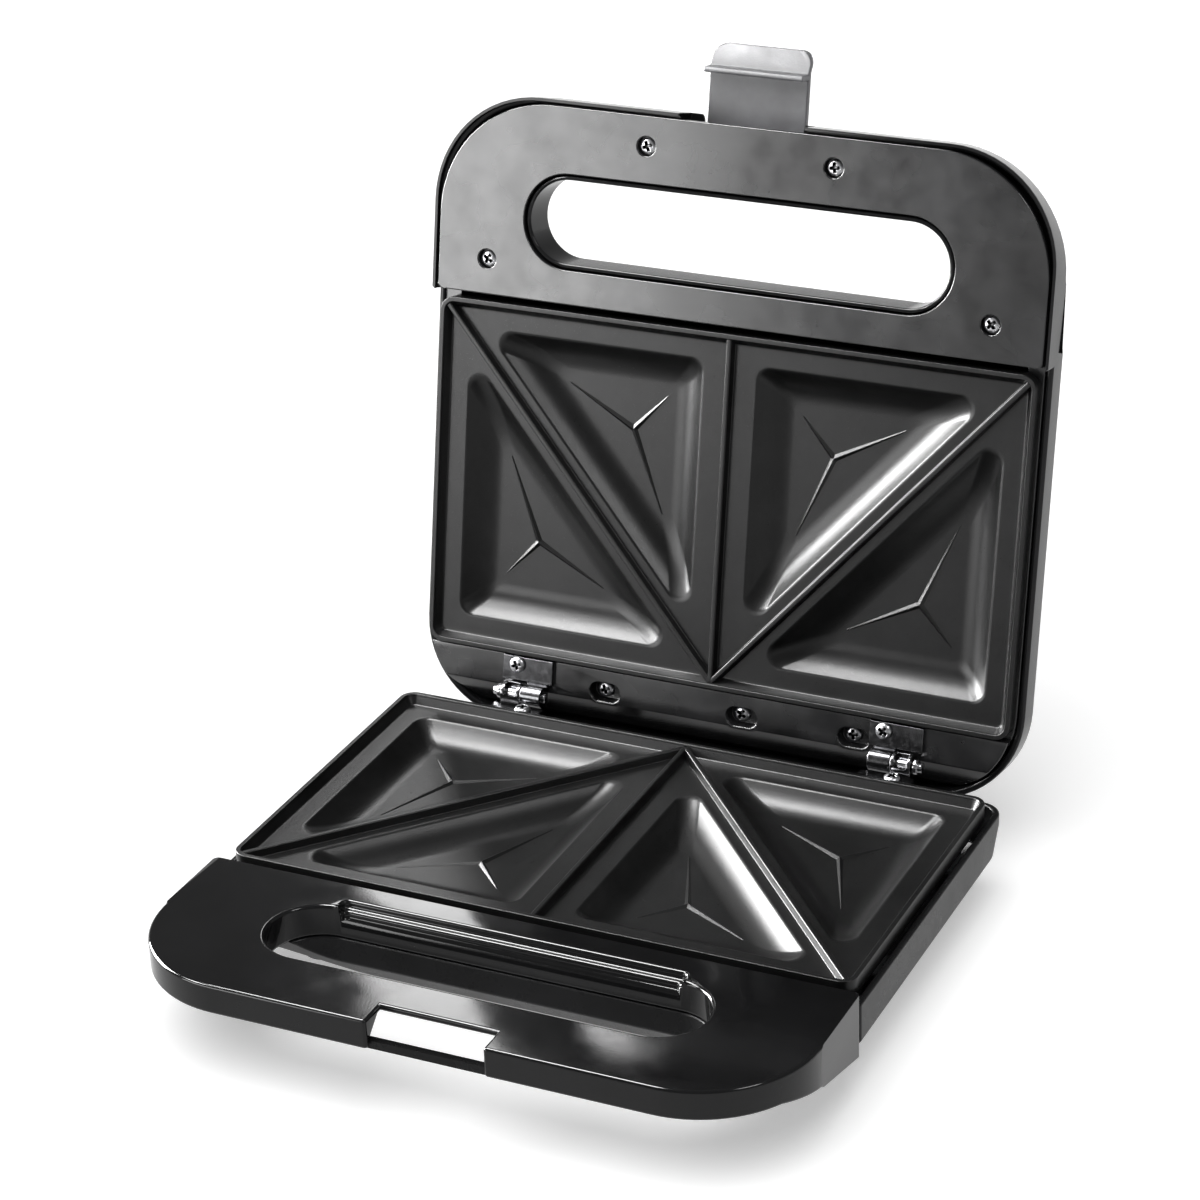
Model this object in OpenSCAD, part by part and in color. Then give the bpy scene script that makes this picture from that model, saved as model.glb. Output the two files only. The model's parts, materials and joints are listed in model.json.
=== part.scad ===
// Sandwich toaster: a hinged pair of cast plates in plastic casings, with the lid open at rest.
// Base pieces use x right, y back from the lower plate's front edge and z up from its rim.
// Each half's own frame is u right, v from the hinge side towards the handle and w out of the
// cooking face, with w = 0 at the rim of the plate. The lower half turned face down is the upper.

/* [Cooking plates] */
// Width of each plate
plate_w = 226; // [214:1:238]
// Depth of each plate, hinge side to handle side
plate_d = 129.6; // [120:0.2:140]
// Radius of the plate's outer corners
plate_corner_r = 5.5; // [4:0.5:8]
// Wall of the casting
plate_t = 2.8; // [2.2:0.1:3.4]
// Height of the rim above the flat of the plate
rim_h = 3.6; // [3:0.1:4.4]
// Width of the rim's flat top
rim_top = 1.6; // [1.2:0.1:2.2]
// How far the rim's inner wall leans in
rim_slope = 2; // [1:0.1:3]
// Width of the sealing ribs
rib_w = 2.8; // [2:0.1:4]
// How far the ribs stay below the rim
rib_drop = 0.6; // [0.3:0.1:1.5]
// Depth of the pockets below the flat of the plate
pocket_depth = 6.6; // [5:0.2:8]
// Pocket edge to the plate's outer edge
pocket_edge_gap = 11; // [9:0.5:14]
// Pocket edge to the middle of the plate
pocket_mid_gap = 10.5; // [9:0.5:13]
// Pocket edge to the middle line of the diagonal rib
pocket_rib_gap = 5.5; // [4.5:0.5:8]
// Radius of the pocket corners
pocket_r = 5; // [3:0.5:7]
// How far the pocket wall leans in down to the floor
pocket_slope = 10; // [8:0.5:11]
// Height of the scoring fins at their hub
fin_h = 2.2; // [1.4:0.1:3.2]
// Thickness of the scoring fins
fin_t = 1.1; // [0.8:0.1:1.6]
// Gap between the two rims when the lid is closed
closed_gap = 1; // [0.6:0.1:2]

/* [Casings] */
// How far the casings reach beyond the plates at each side
side_border = 3.5; // [2.3:0.1:7]
// How far the handles reach beyond the plates
handle_reach = 75; // [70:1:80]
// Radius of the handle corners
corner_r = 40; // [32:1:46]
// Wall of the mouldings
wall = 2.4; // [1.8:0.1:2.8]
// Wall of the handle faces
panel_t = 2.5; // [2:0.1:3.2]
// How far the casing rims stay below the plate rims
casing_drop = 6; // [5:0.2:6.4]
// Gap between the handle faces and the plates
panel_gap = 2.7; // [2:0.1:4]

/* [Base] */
// Height of the lower plate's rim above the table
stand_h = 38; // [36.5:0.5:46]
// Height of the tray's upright walls below the plate rim
tray_wall_h = 20; // [18.5:0.5:22]
// Depth of the tray below the plate rim
tray_h = 30; // [28.5:0.1:31.5]
// How far the tray leans in at the bottom
tray_slope = 12; // [9:0.5:15]
// How far the base casing reaches behind the plate
base_rear = 7.6; // [7.2:0.2:9]
// Radius of the base's rear corners
base_rear_r = 8; // [6:0.5:11]
// How far the base handle face stays below the plate rim
cover_drop = 0.8; // [0.4:0.1:1.6]
// Height of the handle skirt in front
skirt_front_h = 11.5; // [10.5:0.5:13]
// Height of the handle skirt at its rear end
skirt_rear_h = 24; // [22:0.5:26]
// Depth of the handle's underside below the plate rim
grip_h = 12.5; // [12:0.1:14]
// How far the tray's front slopes out under the handle
chin_reach = 25.5; // [22:0.5:28]
// Half length of the hand slot
base_slot_u = 78; // [70:1:82]
// Front edge of the hand slot, from the plate's front edge
base_slot_front = 50; // [48:0.5:52]
// Rear edge of the hand slot, from the plate's front edge
base_slot_rear = 17; // [16:0.5:20]
// Half length of the stepped ledge behind the slot
ledge_u = 62; // [50:1:64]
// Radius of the rubber feet
foot_r = 8; // [6:0.5:10]

/* [Lid] */
// Opening angle
open_angle = 100.9; // [80:0.1:104]
// Depth of the lid's upright walls behind the plate rim
lid_wall_h = 16; // [14:0.5:18]
// Depth of the lid behind the plate rim
lid_h = 33; // [32:0.1:35]
// Depth of the lid's handle
lid_grip_h = 15.6; // [15.2:0.1:17]
// How far the lid leans in at its outer face
lid_slope = 16; // [12:0.5:20]
// How far the lid reaches behind the plate
lid_rear = 27.5; // [26:0.5:30]
// Radius of the lid's rear corners
lid_rear_r = 35; // [28:1:38]
// Half length of the lid's hand slot
lid_slot_u = 81; // [74:1:84]
// Near edge of the lid's hand slot beyond the plate
lid_slot_near = 14.9; // [13.5:0.5:17]
// Width of the lid's hand slot
lid_slot_w = 34.3; // [30:0.5:36]

/* [Hinges and latch] */
// Distance of the hinge axis behind the plates
hinge_back = 14.1; // [13.9:0.1:15]
// Height of the hinge axis below the lower rim
hinge_down = 1.1; // [0.8:0.1:1.6]
// Outer radius of the knuckles
knuckle_r = 4; // [3.6:0.1:4.2]
// Radius of the hinge pins
pin_r = 1.8; // [1.4:0.1:2.1]
// Thickness of the hinge leaves
leaf_t = 1.6; // [1.2:0.1:1.8]
// Width of the latch
latch_w = 37; // [32:0.5:39]
// Width of the base's latch notch
notch_w = 41; // [40.6:0.2:44]
// Width of the lid's latch notch in front of the latch
lid_notch_w = 47; // [45:0.5:50]
// Radius of the latch pin
latch_pin_r = 1.5; // [1.2:0.1:1.8]
// Distance of the latch hook from its pin
hook_reach = 21.6; // [21.6:0.1:22.6]

/* [Electrical parts] */
// Radius of the heating element's sheath
element_r = 3.25; // [2.8:0.05:3.3]
// Thickness of the heat shields
shield_t = 0.8; // [0.5:0.1:0.9]
// Radius of the mains cord that the gland takes
cord_r = 3.6; // [3:0.1:4]
// Radius of the indicator lenses
lens_r = 4; // [3:0.1:4.6]

/* [Hidden] */

body_w = plate_w + 2 * side_border;
$fn = 64;
eps = 0.1;          // overlap of pieces that are cut or joined
fit_gap = 0.3;      // gap between mouldings that slide into each other
run_gap = 0.05;     // radial clearance of a pin in its bore
origin_y = 68.2;    // middle of the open toaster, from the lower plate's front edge

// Derived heights in a half's own frame
flat_w = -rim_h;                              // flat of the plate
under_w = flat_w - plate_t;                   // underside of the flat
floor_w = flat_w - pocket_depth;              // floor of the pockets
cup_w = floor_w - plate_t;                    // underside of the pockets
element_w = cup_w - element_r;                // middle of the heating element
post_w = element_w - element_r - 0.7;         // end of the plate's screw posts
shield_w = post_w - shield_t;                 // underside of the heat shield
inner_w = body_w - 2 * wall;                  // width inside the casings
front_v = plate_d + handle_reach;             // front of the handles
hinge_v = -hinge_back;
hinge_w = closed_gap + hinge_down;

// Screws
screw_r = 1.5;
screw_hole_r = screw_r + 0.2;
head_r = 2.9;
head_h = 1.8;
head_hole_r = head_r + 0.6;
boss_r = 3.8;
cross_w = 0.9;

// Ribs, pockets and posts of a plate
rib_end = 2;                                              // ribs end this far inside the edge
rib_start = [0, rib_end];
rib_angle = atan2(plate_d - 2 * rib_end, plate_w / 2 - rib_end);
fin_hub = [28, 30];                                       // hub, from a pocket's square corner
fin_reach = 0.45;                                         // arm length over the way to a corner
outer_post = [plate_w / 2 - pocket_edge_gap - 14, pocket_edge_gap + 15];
inner_post = [pocket_mid_gap + 14.5, plate_d - pocket_edge_gap - 14.5];
posts = [for (p = [outer_post, inner_post], s = [-1, 1]) [s * p[0], p[1]]];
post_r = 4;
post_hole = 6;

// Heating element: a loop with its two ends at the rear
loop_u = plate_w / 2 - 51;
loop_rear = 28;
loop_front = plate_d - 37.6;
loop_r = 12;
end_u = 14;
end_v = 3;
cold_pin_r = 1.2;
cold_pin_l = 2.5;

// Heat shield
shield_u = plate_w / 2 - 7;
shield_v0 = 5;
shield_v1 = plate_d - 5;
tab_v = [30, 100];
tab_w = 12;
rail_h = 3.6;                                 // height of the lid's rails under the plate edges
tab_top_w = under_w - rail_h;

// Base
base_y1 = plate_d + base_rear;
tray_rim_h = 4;                               // upright rim above the drafted rear wall
tray_rear_in = 2;                             // draft of the rear wall
tray_rear_round = 5;                          // how much rounder the rear corners are below the rim
cover_w = body_w + 1;
cover_y0 = -handle_reach - 0.5;
cover_y1 = -panel_gap;
cover_z = -cover_drop;
seam_y = cover_y1 + fit_gap;
slot_mid_y = -(base_slot_front + base_slot_rear) / 2;
slot_r = (base_slot_front - base_slot_rear) / 2;
slot_wall_z = -grip_h;                        // lower end of the cover's slot wall
notch_y = cover_y0 + 10.5;
window_u = 30;                                // half width of the opening behind the notch
bar_y = cover_y0 + wall + 0.1;
bar_t = 3.2;
bar_top = -9.4;
bar_h = 2.9;
ledge_y = [-12, -14.6];
ledge_z = [-3.4, -6];
foot_u = body_w / 2 - 31.5;
foot_y = [12, base_y1 - tray_slope + 1.5];
foot_pad_h = 4;
grip_rim_z = -8;
grip_seat = 1.9;                              // depth of the handle screws' seats
grip_screw_l = 6.5;
grip_pad_r = head_hole_r + 1.2;
chin_back = 9.5;                              // lower edge of the tray's sloping front
chin_r = 50;
grip_pad_z = -grip_h + 3.5;
grip_screws = [for (s = [-1, 1], p = [[40, 17.5 - handle_reach], [body_w / 2 - 16.5, 35 - handle_reach]])
    [s * p[0], p[1]]];
gland_x = -40;
gland_z = -22.5;
gland_block_r = 9;
gland_block_l = 14;
gland_tail = 14;
gland_neck_r = cord_r + 0.8;
tray_front_t = 1.8;
slot_wall_t = 1.8;
ledge_t = 1.6;
cheek_rib_t = 2;
skirt_bend_y = -55;
foot_top_z = foot_pad_h - stand_h;
foot_stem_r = 3;
foot_stem_h = 3;
block_x = -64;
block_l = 22;
block_y = plate_d - 32;
block_w = 12;
block_gap = 0.6;                              // terminal block to the heat shield
fuse_l = 16;
fuse_gap = 2.6;                               // thermal fuse to the heat shield
fuse_y = plate_d - 30;
lead_r = 1.1;
lead_gap = 0.4;
lead_bend = 1.15;                             // thicker crimp at each bend and end
pan_z = wall - tray_h;                        // top of the tray's floor
tray_room = shield_w - pan_z;
block_h = tray_room - block_gap;
fuse_r = (tray_room - fuse_gap) / 2;
tube_r = 6;
tube_head_z = shield_w - 2.2;                 // seat of the plate screws in the tray's tubes
plate_screw_l = post_w - tube_head_z + post_hole - 1;

// Lid
lid_v0 = -lid_rear;
lid_v1 = front_v;
lid_panel_v0 = plate_d + panel_gap;
lip_t = 1;
lip_gap = 1.2;
lid_ramp = 17;                                // length of the slope down to the handle
lid_grip_slope = 9;
lid_lip_h = 1;
lid_edge_h = lid_grip_h - 3;
lid_edge_in = 1.2;
lid_edge_r = corner_r + 2.5;
lid_panel_r = corner_r + 2;
lid_screw_l = 9;
rear_screw_l = 12;
boss_drop = 5;                                // joint of the handle face's bosses with the shell's
head_seat = 2.6;
lid_face_v1 = plate_d - 1.6;                  // front end of the lid's raised outer face
lid_slot_mid = plate_d + lid_slot_near + lid_slot_w / 2;
lid_slot_r = lid_slot_w / 2;
collar_in = 2.2;                              // how far the shell's collar shows in the slot
collar_gap = 0.6;
collar_drop = 0.8;
lid_screws = [for (s = [-1, 1], p = [[35, front_v - 12.8], [body_w / 2 - 21.5, plate_d + 15.4]]) [s * p[0], p[1]]];
liner_w = -2.2;
liner_fold = -13;
liner_end = [-22, -9.5];
recess_l = 12;
recess_w = 7;
recess_d = 5.4;
recess_shift = 1.5;
liner_t = 2.2;
liner_seat_w = liner_w - recess_d - 2;
rail_u0 = shield_u + 1.5;
rail_u1 = inner_w / 2 - 0.5;
lens_u = 12;
lens_v = plate_d - 12;
board_w = shield_w - 0.3;
board_t = 1.2;
board_u = 28;
board_v = 7;
board_post_u = 23;
lens_lip = 1.2;
lead_u = 21;
lead_w = shield_w - lead_r - 2;
thermostat_r = 8;
thermostat_h = 10;

// Hinges
axis_y = plate_d + hinge_back;
axis_z = -hinge_down;
knuckle_out = plate_w / 2 - 33;
knuckle_mid = knuckle_out - 7.9;
knuckle_in = knuckle_out - 16;
leaf_in = knuckle_in - 2;
leaf_out = knuckle_out + 2;
rear_screws = [for (u = [19 - leaf_in, 11, leaf_in - 8]) [u, -9.2]];
leaf_clear = knuckle_r + fit_gap;
leaf_w = hinge_w - knuckle_r;
leaf_v1 = -0.8;
bracket_z = axis_z - knuckle_r;
hinge_screw_l = 7;
pin_tip = 3.6;
knuckle_flange = 1.5;
bracket_y0 = plate_d + 1.4;
bracket_y1 = plate_d + 9.4;
bracket_block_h = 9;
bracket_screw_y = plate_d + 6.6;
bracket_screw_x = [3.1 - knuckle_mid, knuckle_mid + 2.9];
leaf_screw_v = -3.8;
leaf_screw_u = [-knuckle_mid - 3.9, knuckle_mid - 4.6];

// Latch, in its own frame: a away from the pin and b out of the cooking face, while raised
latch_v = front_v - 7.6;
latch_pin_w = -8;
latch_b = -6;
latch_t = 2.6;
latch_hub_r = 3.2;
latch_web = 2.6;
latch_tail = -5.5;
hook_t = 2;
tab_l = 7.4;
tab_flare = 4;
latch_corner_r = 5;
pocket_back = latch_v - 7;
cheek_t = 4;
latch_pin_l = lid_notch_w + 2 * cheek_t - 1;
latch_side_gap = 0.4;
notch_step_w = latch_pin_w - latch_hub_r - 0.4;   // the notch is wider in front of this height
latch_tip = hook_reach + hook_t + tab_l;

// ---- placing ----

module in_base() {
    translate([0, -origin_y, stand_h]) children();
}

module lower_half() {
    in_base() translate([0, plate_d, 0]) rotate([0, 0, 180]) children();
}

module upper_half() {
    in_base()
        translate([0, axis_y, axis_z])
        rotate([-open_angle, 0, 0])
        translate([0, -axis_y, -axis_z])
        translate([0, plate_d, closed_gap])
        rotate([180, 0, 0])
        children();
}

// ---- shared shapes ----

// Rectangle with its own corner radius at each end
module outline(w, v0, v1, r0, r1) {
    intersection() {
        union() {
            for (s = [-1, 1]) {
                translate([s * (w / 2 - r0), v0 + r0]) circle(r0);
                translate([s * (w / 2 - r1), v1 - r1]) circle(r1);
            }
            translate([-w / 2, v0 + r0]) square([w, v1 - v0 - r0 - r1]);
            translate([r0 - w / 2, v0]) square([w - 2 * r0, r0 + eps]);
            translate([r1 - w / 2, v1 - r1 - eps]) square([w - 2 * r1, r1 + eps]);
        }
        translate([-w / 2, v0]) square([w, v1 - v0]);
    }
}

module slab(w0, w1) {
    translate([0, 0, w0]) linear_extrude(w1 - w0) children();
}

module stadium(half_u, v, r) {
    for (s = [-1, 1]) translate([s * (half_u - r), v]) circle(r);
    translate([r - half_u, v - r]) square([2 * (half_u - r), 2 * r]);
}

module box(u0, u1, v0, v1, w0, w1) {
    translate([u0, v0, w0]) cube([u1 - u0, v1 - v0, w1 - w0]);
}

// Profile in (v, w), drawn out along u
module along_u(u0, u1) {
    translate([u0, 0, 0]) rotate([90, 0, 90]) linear_extrude(u1 - u0) children();
}

// Bar, tube or pin along u
module rod_u(u0, u1, r, v, w) {
    translate([u0, v, w]) rotate([0, 90, 0]) cylinder(h = u1 - u0, r = r);
}

// Cross-head screw with its head's underside at the origin and its shank downwards
module screw(len) {
    difference() {
        union() {
            cylinder(h = head_h, r = head_r);
            translate([0, 0, -len]) cylinder(h = len + eps, r = screw_r);
        }
        for (a = [0, 90])
            rotate([0, 0, a])
            translate([-head_r * 0.65, -cross_w / 2, head_h - 1])
            cube([head_r * 1.3, cross_w, 1 + eps]);
    }
}

// ---- plates ----

function outer_corners(t) =
    let (u = plate_w / 2 - pocket_edge_gap - t, v = pocket_edge_gap + t, g = pocket_rib_gap + t)
    [[u, v],
     [u, rib_end + (u * sin(rib_angle) - g) / cos(rib_angle)],
     [(g + (v - rib_end) * cos(rib_angle)) / sin(rib_angle), v]];

function inner_corners(t) =
    let (u = pocket_mid_gap + t, v = plate_d - pocket_edge_gap - t, g = pocket_rib_gap + t)
    [[u, v],
     [u, rib_end + (u * sin(rib_angle) + g) / cos(rib_angle)],
     [((v - rib_end) * cos(rib_angle) - g) / sin(rib_angle), v]];

function corners(kind, t) = kind == 0 ? outer_corners(t) : inner_corners(t);

// Unit normal of the edge a-b, away from c
function away(a, b, c) =
    let (d = (b - a) / norm(b - a), n = [d[1], -d[0]])
    (c - a) * n > 0 ? -n : n;

// Triangle of a pocket, drawn in by t, with round corners
module pocket_area(kind, t, r) {
    c = corners(kind, t + r);
    for (p = c) translate(p) circle(r);
    polygon([for (i = [0:2], k = [0, 1])
        let (a = c[i], b = c[(i + 1) % 3], o = c[(i + 2) % 3]) (k == 0 ? a : b) + r * away(a, b, o)]);
}

module both_sides() {
    children();
    mirror([1, 0, 0]) children();
}

module pocket_space(kind) {
    hull() {
        slab(flat_w, flat_w + eps) pocket_area(kind, 0, pocket_r, $fn = 32);
        slab(flat_w - pocket_depth * 0.67, flat_w) pocket_area(kind, pocket_slope * 0.4, pocket_r * 0.8, $fn = 32);
        slab(floor_w, flat_w) pocket_area(kind, pocket_slope, pocket_r * 0.5, $fn = 32);
    }
}

module pocket_cup(kind) {
    slab(floor_w - 0.2, under_w + eps) pocket_area(kind, 0.5, pocket_r);
    slab(cup_w, floor_w) pocket_area(kind, pocket_slope * 0.3, pocket_r);
}

module fins(kind) {
    c = corners(kind, 0);
    out = kind == 0 ? [-1, 1] : [1, -1];
    hub = c[0] + [out[0] * fin_hub[0], out[1] * fin_hub[1]];
    for (p = c)
        translate([hub[0], hub[1], floor_w - eps])
        rotate([90, 0, atan2(p[1] - hub[1], p[0] - hub[0])])
        linear_extrude(fin_t, center = true)
        polygon([[-fin_t / 2, 0], [fin_reach * norm(p - hub), 0], [0, fin_h], [-fin_t / 2, fin_h]]);
}

module plate_ribs() {
    intersection() {
        slab(flat_w - eps, -rib_drop)
            outline(plate_w - 2 * rim_top, rim_top, plate_d - rim_top, plate_corner_r, plate_corner_r);
        union() {
            box(-rib_w / 2, rib_w / 2, 0, plate_d, flat_w - 1, 0);
            both_sides()
                translate([rib_start[0], rib_start[1], flat_w - 1])
                rotate([0, 0, rib_angle])
                translate([-rib_w, -rib_w / 2, 0])
                cube([plate_w, rib_w, rim_h + 1]);
        }
    }
}

module cast_plate() {
    inner = rim_top + rim_slope;
    difference() {
        union() {
            slab(under_w, 0) outline(plate_w, 0, plate_d, plate_corner_r, plate_corner_r);
            both_sides() {
                pocket_cup(0);
                pocket_cup(1);
            }
            for (p = posts) translate([p[0], p[1], post_w]) cylinder(h = cup_w - post_w + 1, r = post_r);
        }
        hull() {
            slab(flat_w, flat_w + eps)
                outline(plate_w - 2 * inner, inner, plate_d - inner, plate_corner_r - 2, plate_corner_r - 2);
            slab(0, eps)
                outline(plate_w - 2 * rim_top, rim_top, plate_d - rim_top, plate_corner_r, plate_corner_r);
        }
        both_sides() {
            pocket_space(0);
            pocket_space(1);
        }
        for (p = posts)
            translate([p[0], p[1], post_w - eps]) cylinder(h = post_hole + eps, r = screw_r + run_gap);
    }
    plate_ribs();
    both_sides() {
        fins(0);
        fins(1);
    }
}

// ---- heating and wiring ----

module elbow(u, v, start) {
    translate([u, v, element_w])
        rotate([0, 0, start])
        rotate_extrude(angle = 90)
        translate([loop_r, 0])
        circle(element_r);
}

module run_along_u(u0, u1, v) {
    rod_u(u0, u1, element_r, v, element_w);
}

module run_along_v(u, v0, v1) {
    translate([u, v0, element_w]) rotate([-90, 0, 0]) cylinder(h = v1 - v0, r = element_r);
}

module element_half() {
    run_along_v(end_u, end_v, loop_rear - loop_r);
    elbow(end_u + loop_r, loop_rear - loop_r, 90);
    run_along_u(end_u + loop_r, loop_u - loop_r, loop_rear);
    elbow(loop_u - loop_r, loop_rear + loop_r, 270);
    run_along_v(loop_u, loop_rear + loop_r, loop_front - loop_r);
    elbow(loop_u - loop_r, loop_front - loop_r, 0);
    run_along_u(0, loop_u - loop_r, loop_front);
    translate([end_u, end_v - cold_pin_l, element_w])
        rotate([-90, 0, 0])
        cylinder(h = cold_pin_l + 1, r = cold_pin_r);
}

module heating_element() {
    both_sides() element_half();
}

module heat_shield() {
    difference() {
        union() {
            slab(shield_w, tab_top_w) outline(2 * shield_u, shield_v0, shield_v1, 4, 4);
            for (s = [-1, 1], v = tab_v)
                box(s > 0 ? shield_u - 2 : -rail_u1 + 1, s > 0 ? rail_u1 - 1 : 2 - shield_u,
                    v - tab_w / 2, v + tab_w / 2, tab_top_w - shield_t, tab_top_w);
        }
        slab(post_w, 0)
            outline(2 * (shield_u - shield_t), shield_v0 + shield_t, shield_v1 - shield_t, 3.2, 3.2);
        for (s = [-1, 1])
            translate([s * end_u, shield_v0 - 1, element_w])
            rotate([-90, 0, 0])
            cylinder(h = 4, r = element_r + 0.4);
        for (p = posts)
            translate([p[0], p[1], shield_w - 1]) cylinder(h = 3, r = screw_hole_r);
    }
}

// Insulated lead through a list of points
module lead(points, r) {
    for (i = [0:len(points) - 2]) {
        a = points[i];
        d = points[i + 1] - a;
        translate(a) sphere(r * lead_bend);
        translate(a)
            rotate([0, acos(d[2] / norm(d)), atan2(d[1], d[0])])
            cylinder(h = norm(d), r = r);
    }
    translate(points[len(points) - 1]) sphere(r * lead_bend);
}

// ---- base ----

module tray_outer() {
    hull() {
        slab(-casing_drop - tray_rim_h, -casing_drop) outline(body_w, seam_y, base_y1, 2, base_rear_r);
        slab(-tray_wall_h, eps - tray_wall_h)
            outline(body_w, seam_y, base_y1 - tray_rear_in, 2, base_rear_r + tray_rear_round);
        slab(-tray_h, eps - tray_h)
            outline(body_w - 2 * tray_slope, seam_y, base_y1 - tray_slope, 2, base_rear_r + tray_rear_round);
    }
}

module tray_inner() {
    hull() {
        slab(-casing_drop - tray_rim_h, 0)
            outline(inner_w, seam_y + tray_front_t, base_y1 - wall, 1, base_rear_r - wall);
        slab(-tray_wall_h, eps - tray_wall_h)
            outline(inner_w, seam_y + tray_front_t, base_y1 - wall - tray_rear_in,
                1, base_rear_r + tray_rear_round - wall);
        slab(pan_z, pan_z + eps)
            outline(inner_w - 2 * tray_slope, seam_y + tray_front_t, base_y1 - wall - tray_slope,
                1, base_rear_r + tray_rear_round - wall);
    }
}

// Underside of the handle, drawn in by t
module grip_form(t, top_z) {
    slab(t - grip_h, top_z)
        outline(cover_w - 2 * (wall + fit_gap + t), cover_y0 + wall + fit_gap + t, seam_y,
            corner_r - wall - t, 1);
}

// Sloping front of the tray under the handle, drawn in by t
module chin_form(t) {
    hull() {
        slab(-grip_h, t - grip_h + eps)
            outline(cover_w - 2 * (wall + fit_gap + t), t - chin_reach, seam_y, 2, 1);
        slab(t - tray_h, t - tray_h + eps) intersection() {
            outline(body_w - 2 * (tray_slope + t), t - chin_back, plate_d, chin_r, 1);
            translate([-body_w / 2, -chin_reach]) square([body_w, chin_reach + seam_y]);
        }
    }
}

module gland_block() {
    box(gland_x - gland_block_r, gland_x + gland_block_r, base_y1 - gland_block_l, base_y1,
        -tray_h, gland_z + gland_block_r);
}

module base_shell_body() {
    difference() {
        union() {
            tray_outer();
            grip_form(0, grip_rim_z);
            chin_form(0);
            gland_block();
        }
        tray_inner();
        difference() {
            union() {
                grip_form(wall, 0);
                chin_form(wall);
            }
            box(-body_w, body_w, seam_y - eps, plate_d, -tray_h, 1);
            box(-window_u - wall, window_u + wall, cover_y0, -base_slot_front, -tray_h, 1);
        }
        box(gland_x - gland_block_r + wall, gland_x + gland_block_r - wall,
            base_y1 - gland_block_l - 1, base_y1 - wall, pan_z, gland_z + gland_block_r - wall);
    }
    intersection() {
        chin_form(0);
        slab(-tray_h, 0) stadium(base_slot_u + slot_wall_t, slot_mid_y, slot_r + slot_wall_t);
    }
    for (p = grip_screws)
        translate([p[0], p[1], -grip_h]) cylinder(h = grip_pad_z + grip_h, r = grip_pad_r);
    for (p = posts)
        translate([p[0], plate_d - p[1], -tray_h]) cylinder(h = tray_h + shield_w, r = tube_r);
    for (x = [-foot_u, foot_u], y = foot_y)
        translate([x, y, foot_top_z]) cylinder(h = pan_z - foot_top_z, r = foot_r);
    for (s = [-1, 1])
        box(s > 0 ? leaf_in : -leaf_out, s > 0 ? leaf_out : -leaf_in, bracket_y0, bracket_y1,
            bracket_z - bracket_block_h, bracket_z);
}

module base_shell() {
    color("#1b1b1d") in_base() {
        difference() {
            base_shell_body();
            slab(-stand_h, 1) stadium(base_slot_u, slot_mid_y, slot_r);
            slab(slot_wall_z - fit_gap, 1)
                stadium(base_slot_u + slot_wall_t + fit_gap, slot_mid_y, slot_r + slot_wall_t + fit_gap);
            box(-window_u, window_u, cover_y0 - 1, -base_slot_front, -tray_h, 1);
            for (p = grip_screws)
                translate([p[0], p[1], -grip_h - 1]) {
                    cylinder(h = 1 + grip_seat, r = head_hole_r);
                    cylinder(h = grip_h, r = screw_hole_r);
                }
            for (p = posts)
                translate([p[0], plate_d - p[1], -tray_h - 1]) {
                    cylinder(h = tray_h + 1 + tube_head_z, r = head_hole_r);
                    cylinder(h = tray_h + 1, r = screw_hole_r);
                }
            for (x = [-foot_u, foot_u], y = foot_y)
                translate([x, y, foot_top_z - 1]) cylinder(h = foot_stem_h + 1.2, r = foot_stem_r + run_gap);
            for (x = bracket_screw_x)
                translate([x, bracket_screw_y, bracket_z - 8]) cylinder(h = 9, r = screw_r + run_gap);
            translate([gland_x, base_y1 + 1, gland_z])
                rotate([90, 0, 0])
                cylinder(h = gland_block_l, r = gland_neck_r + run_gap);
        }
        box(-window_u - 1, window_u + 1, bar_y, bar_y + bar_t, bar_top - bar_h, bar_top);
    }
}

// Everything of the handle cover below its sloping lower edge
module below_skirt() {
    along_u(-body_w, body_w)
        polygon([[cover_y0 - 1, -skirt_front_h], [skirt_bend_y, -skirt_front_h],
            [cover_y1 + 1, -skirt_rear_h], [cover_y1 + 1, -tray_h - 9], [cover_y0 - 1, -tray_h - 9]]);
}

module cover_skirt() {
    difference() {
        slab(-skirt_rear_h, cover_z) outline(cover_w, cover_y0, cover_y1, corner_r, 2);
        slab(-tray_h, cover_z - panel_t)
            outline(cover_w - 2 * wall, cover_y0 + wall, cover_y1 - wall, corner_r - wall, 1);
        box(-cover_w / 2 + wall, cover_w / 2 - wall, cover_y1 - wall - 1, cover_y1 + 1,
            -tray_h, -casing_drop + 0.4);
        below_skirt();
    }
}

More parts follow.
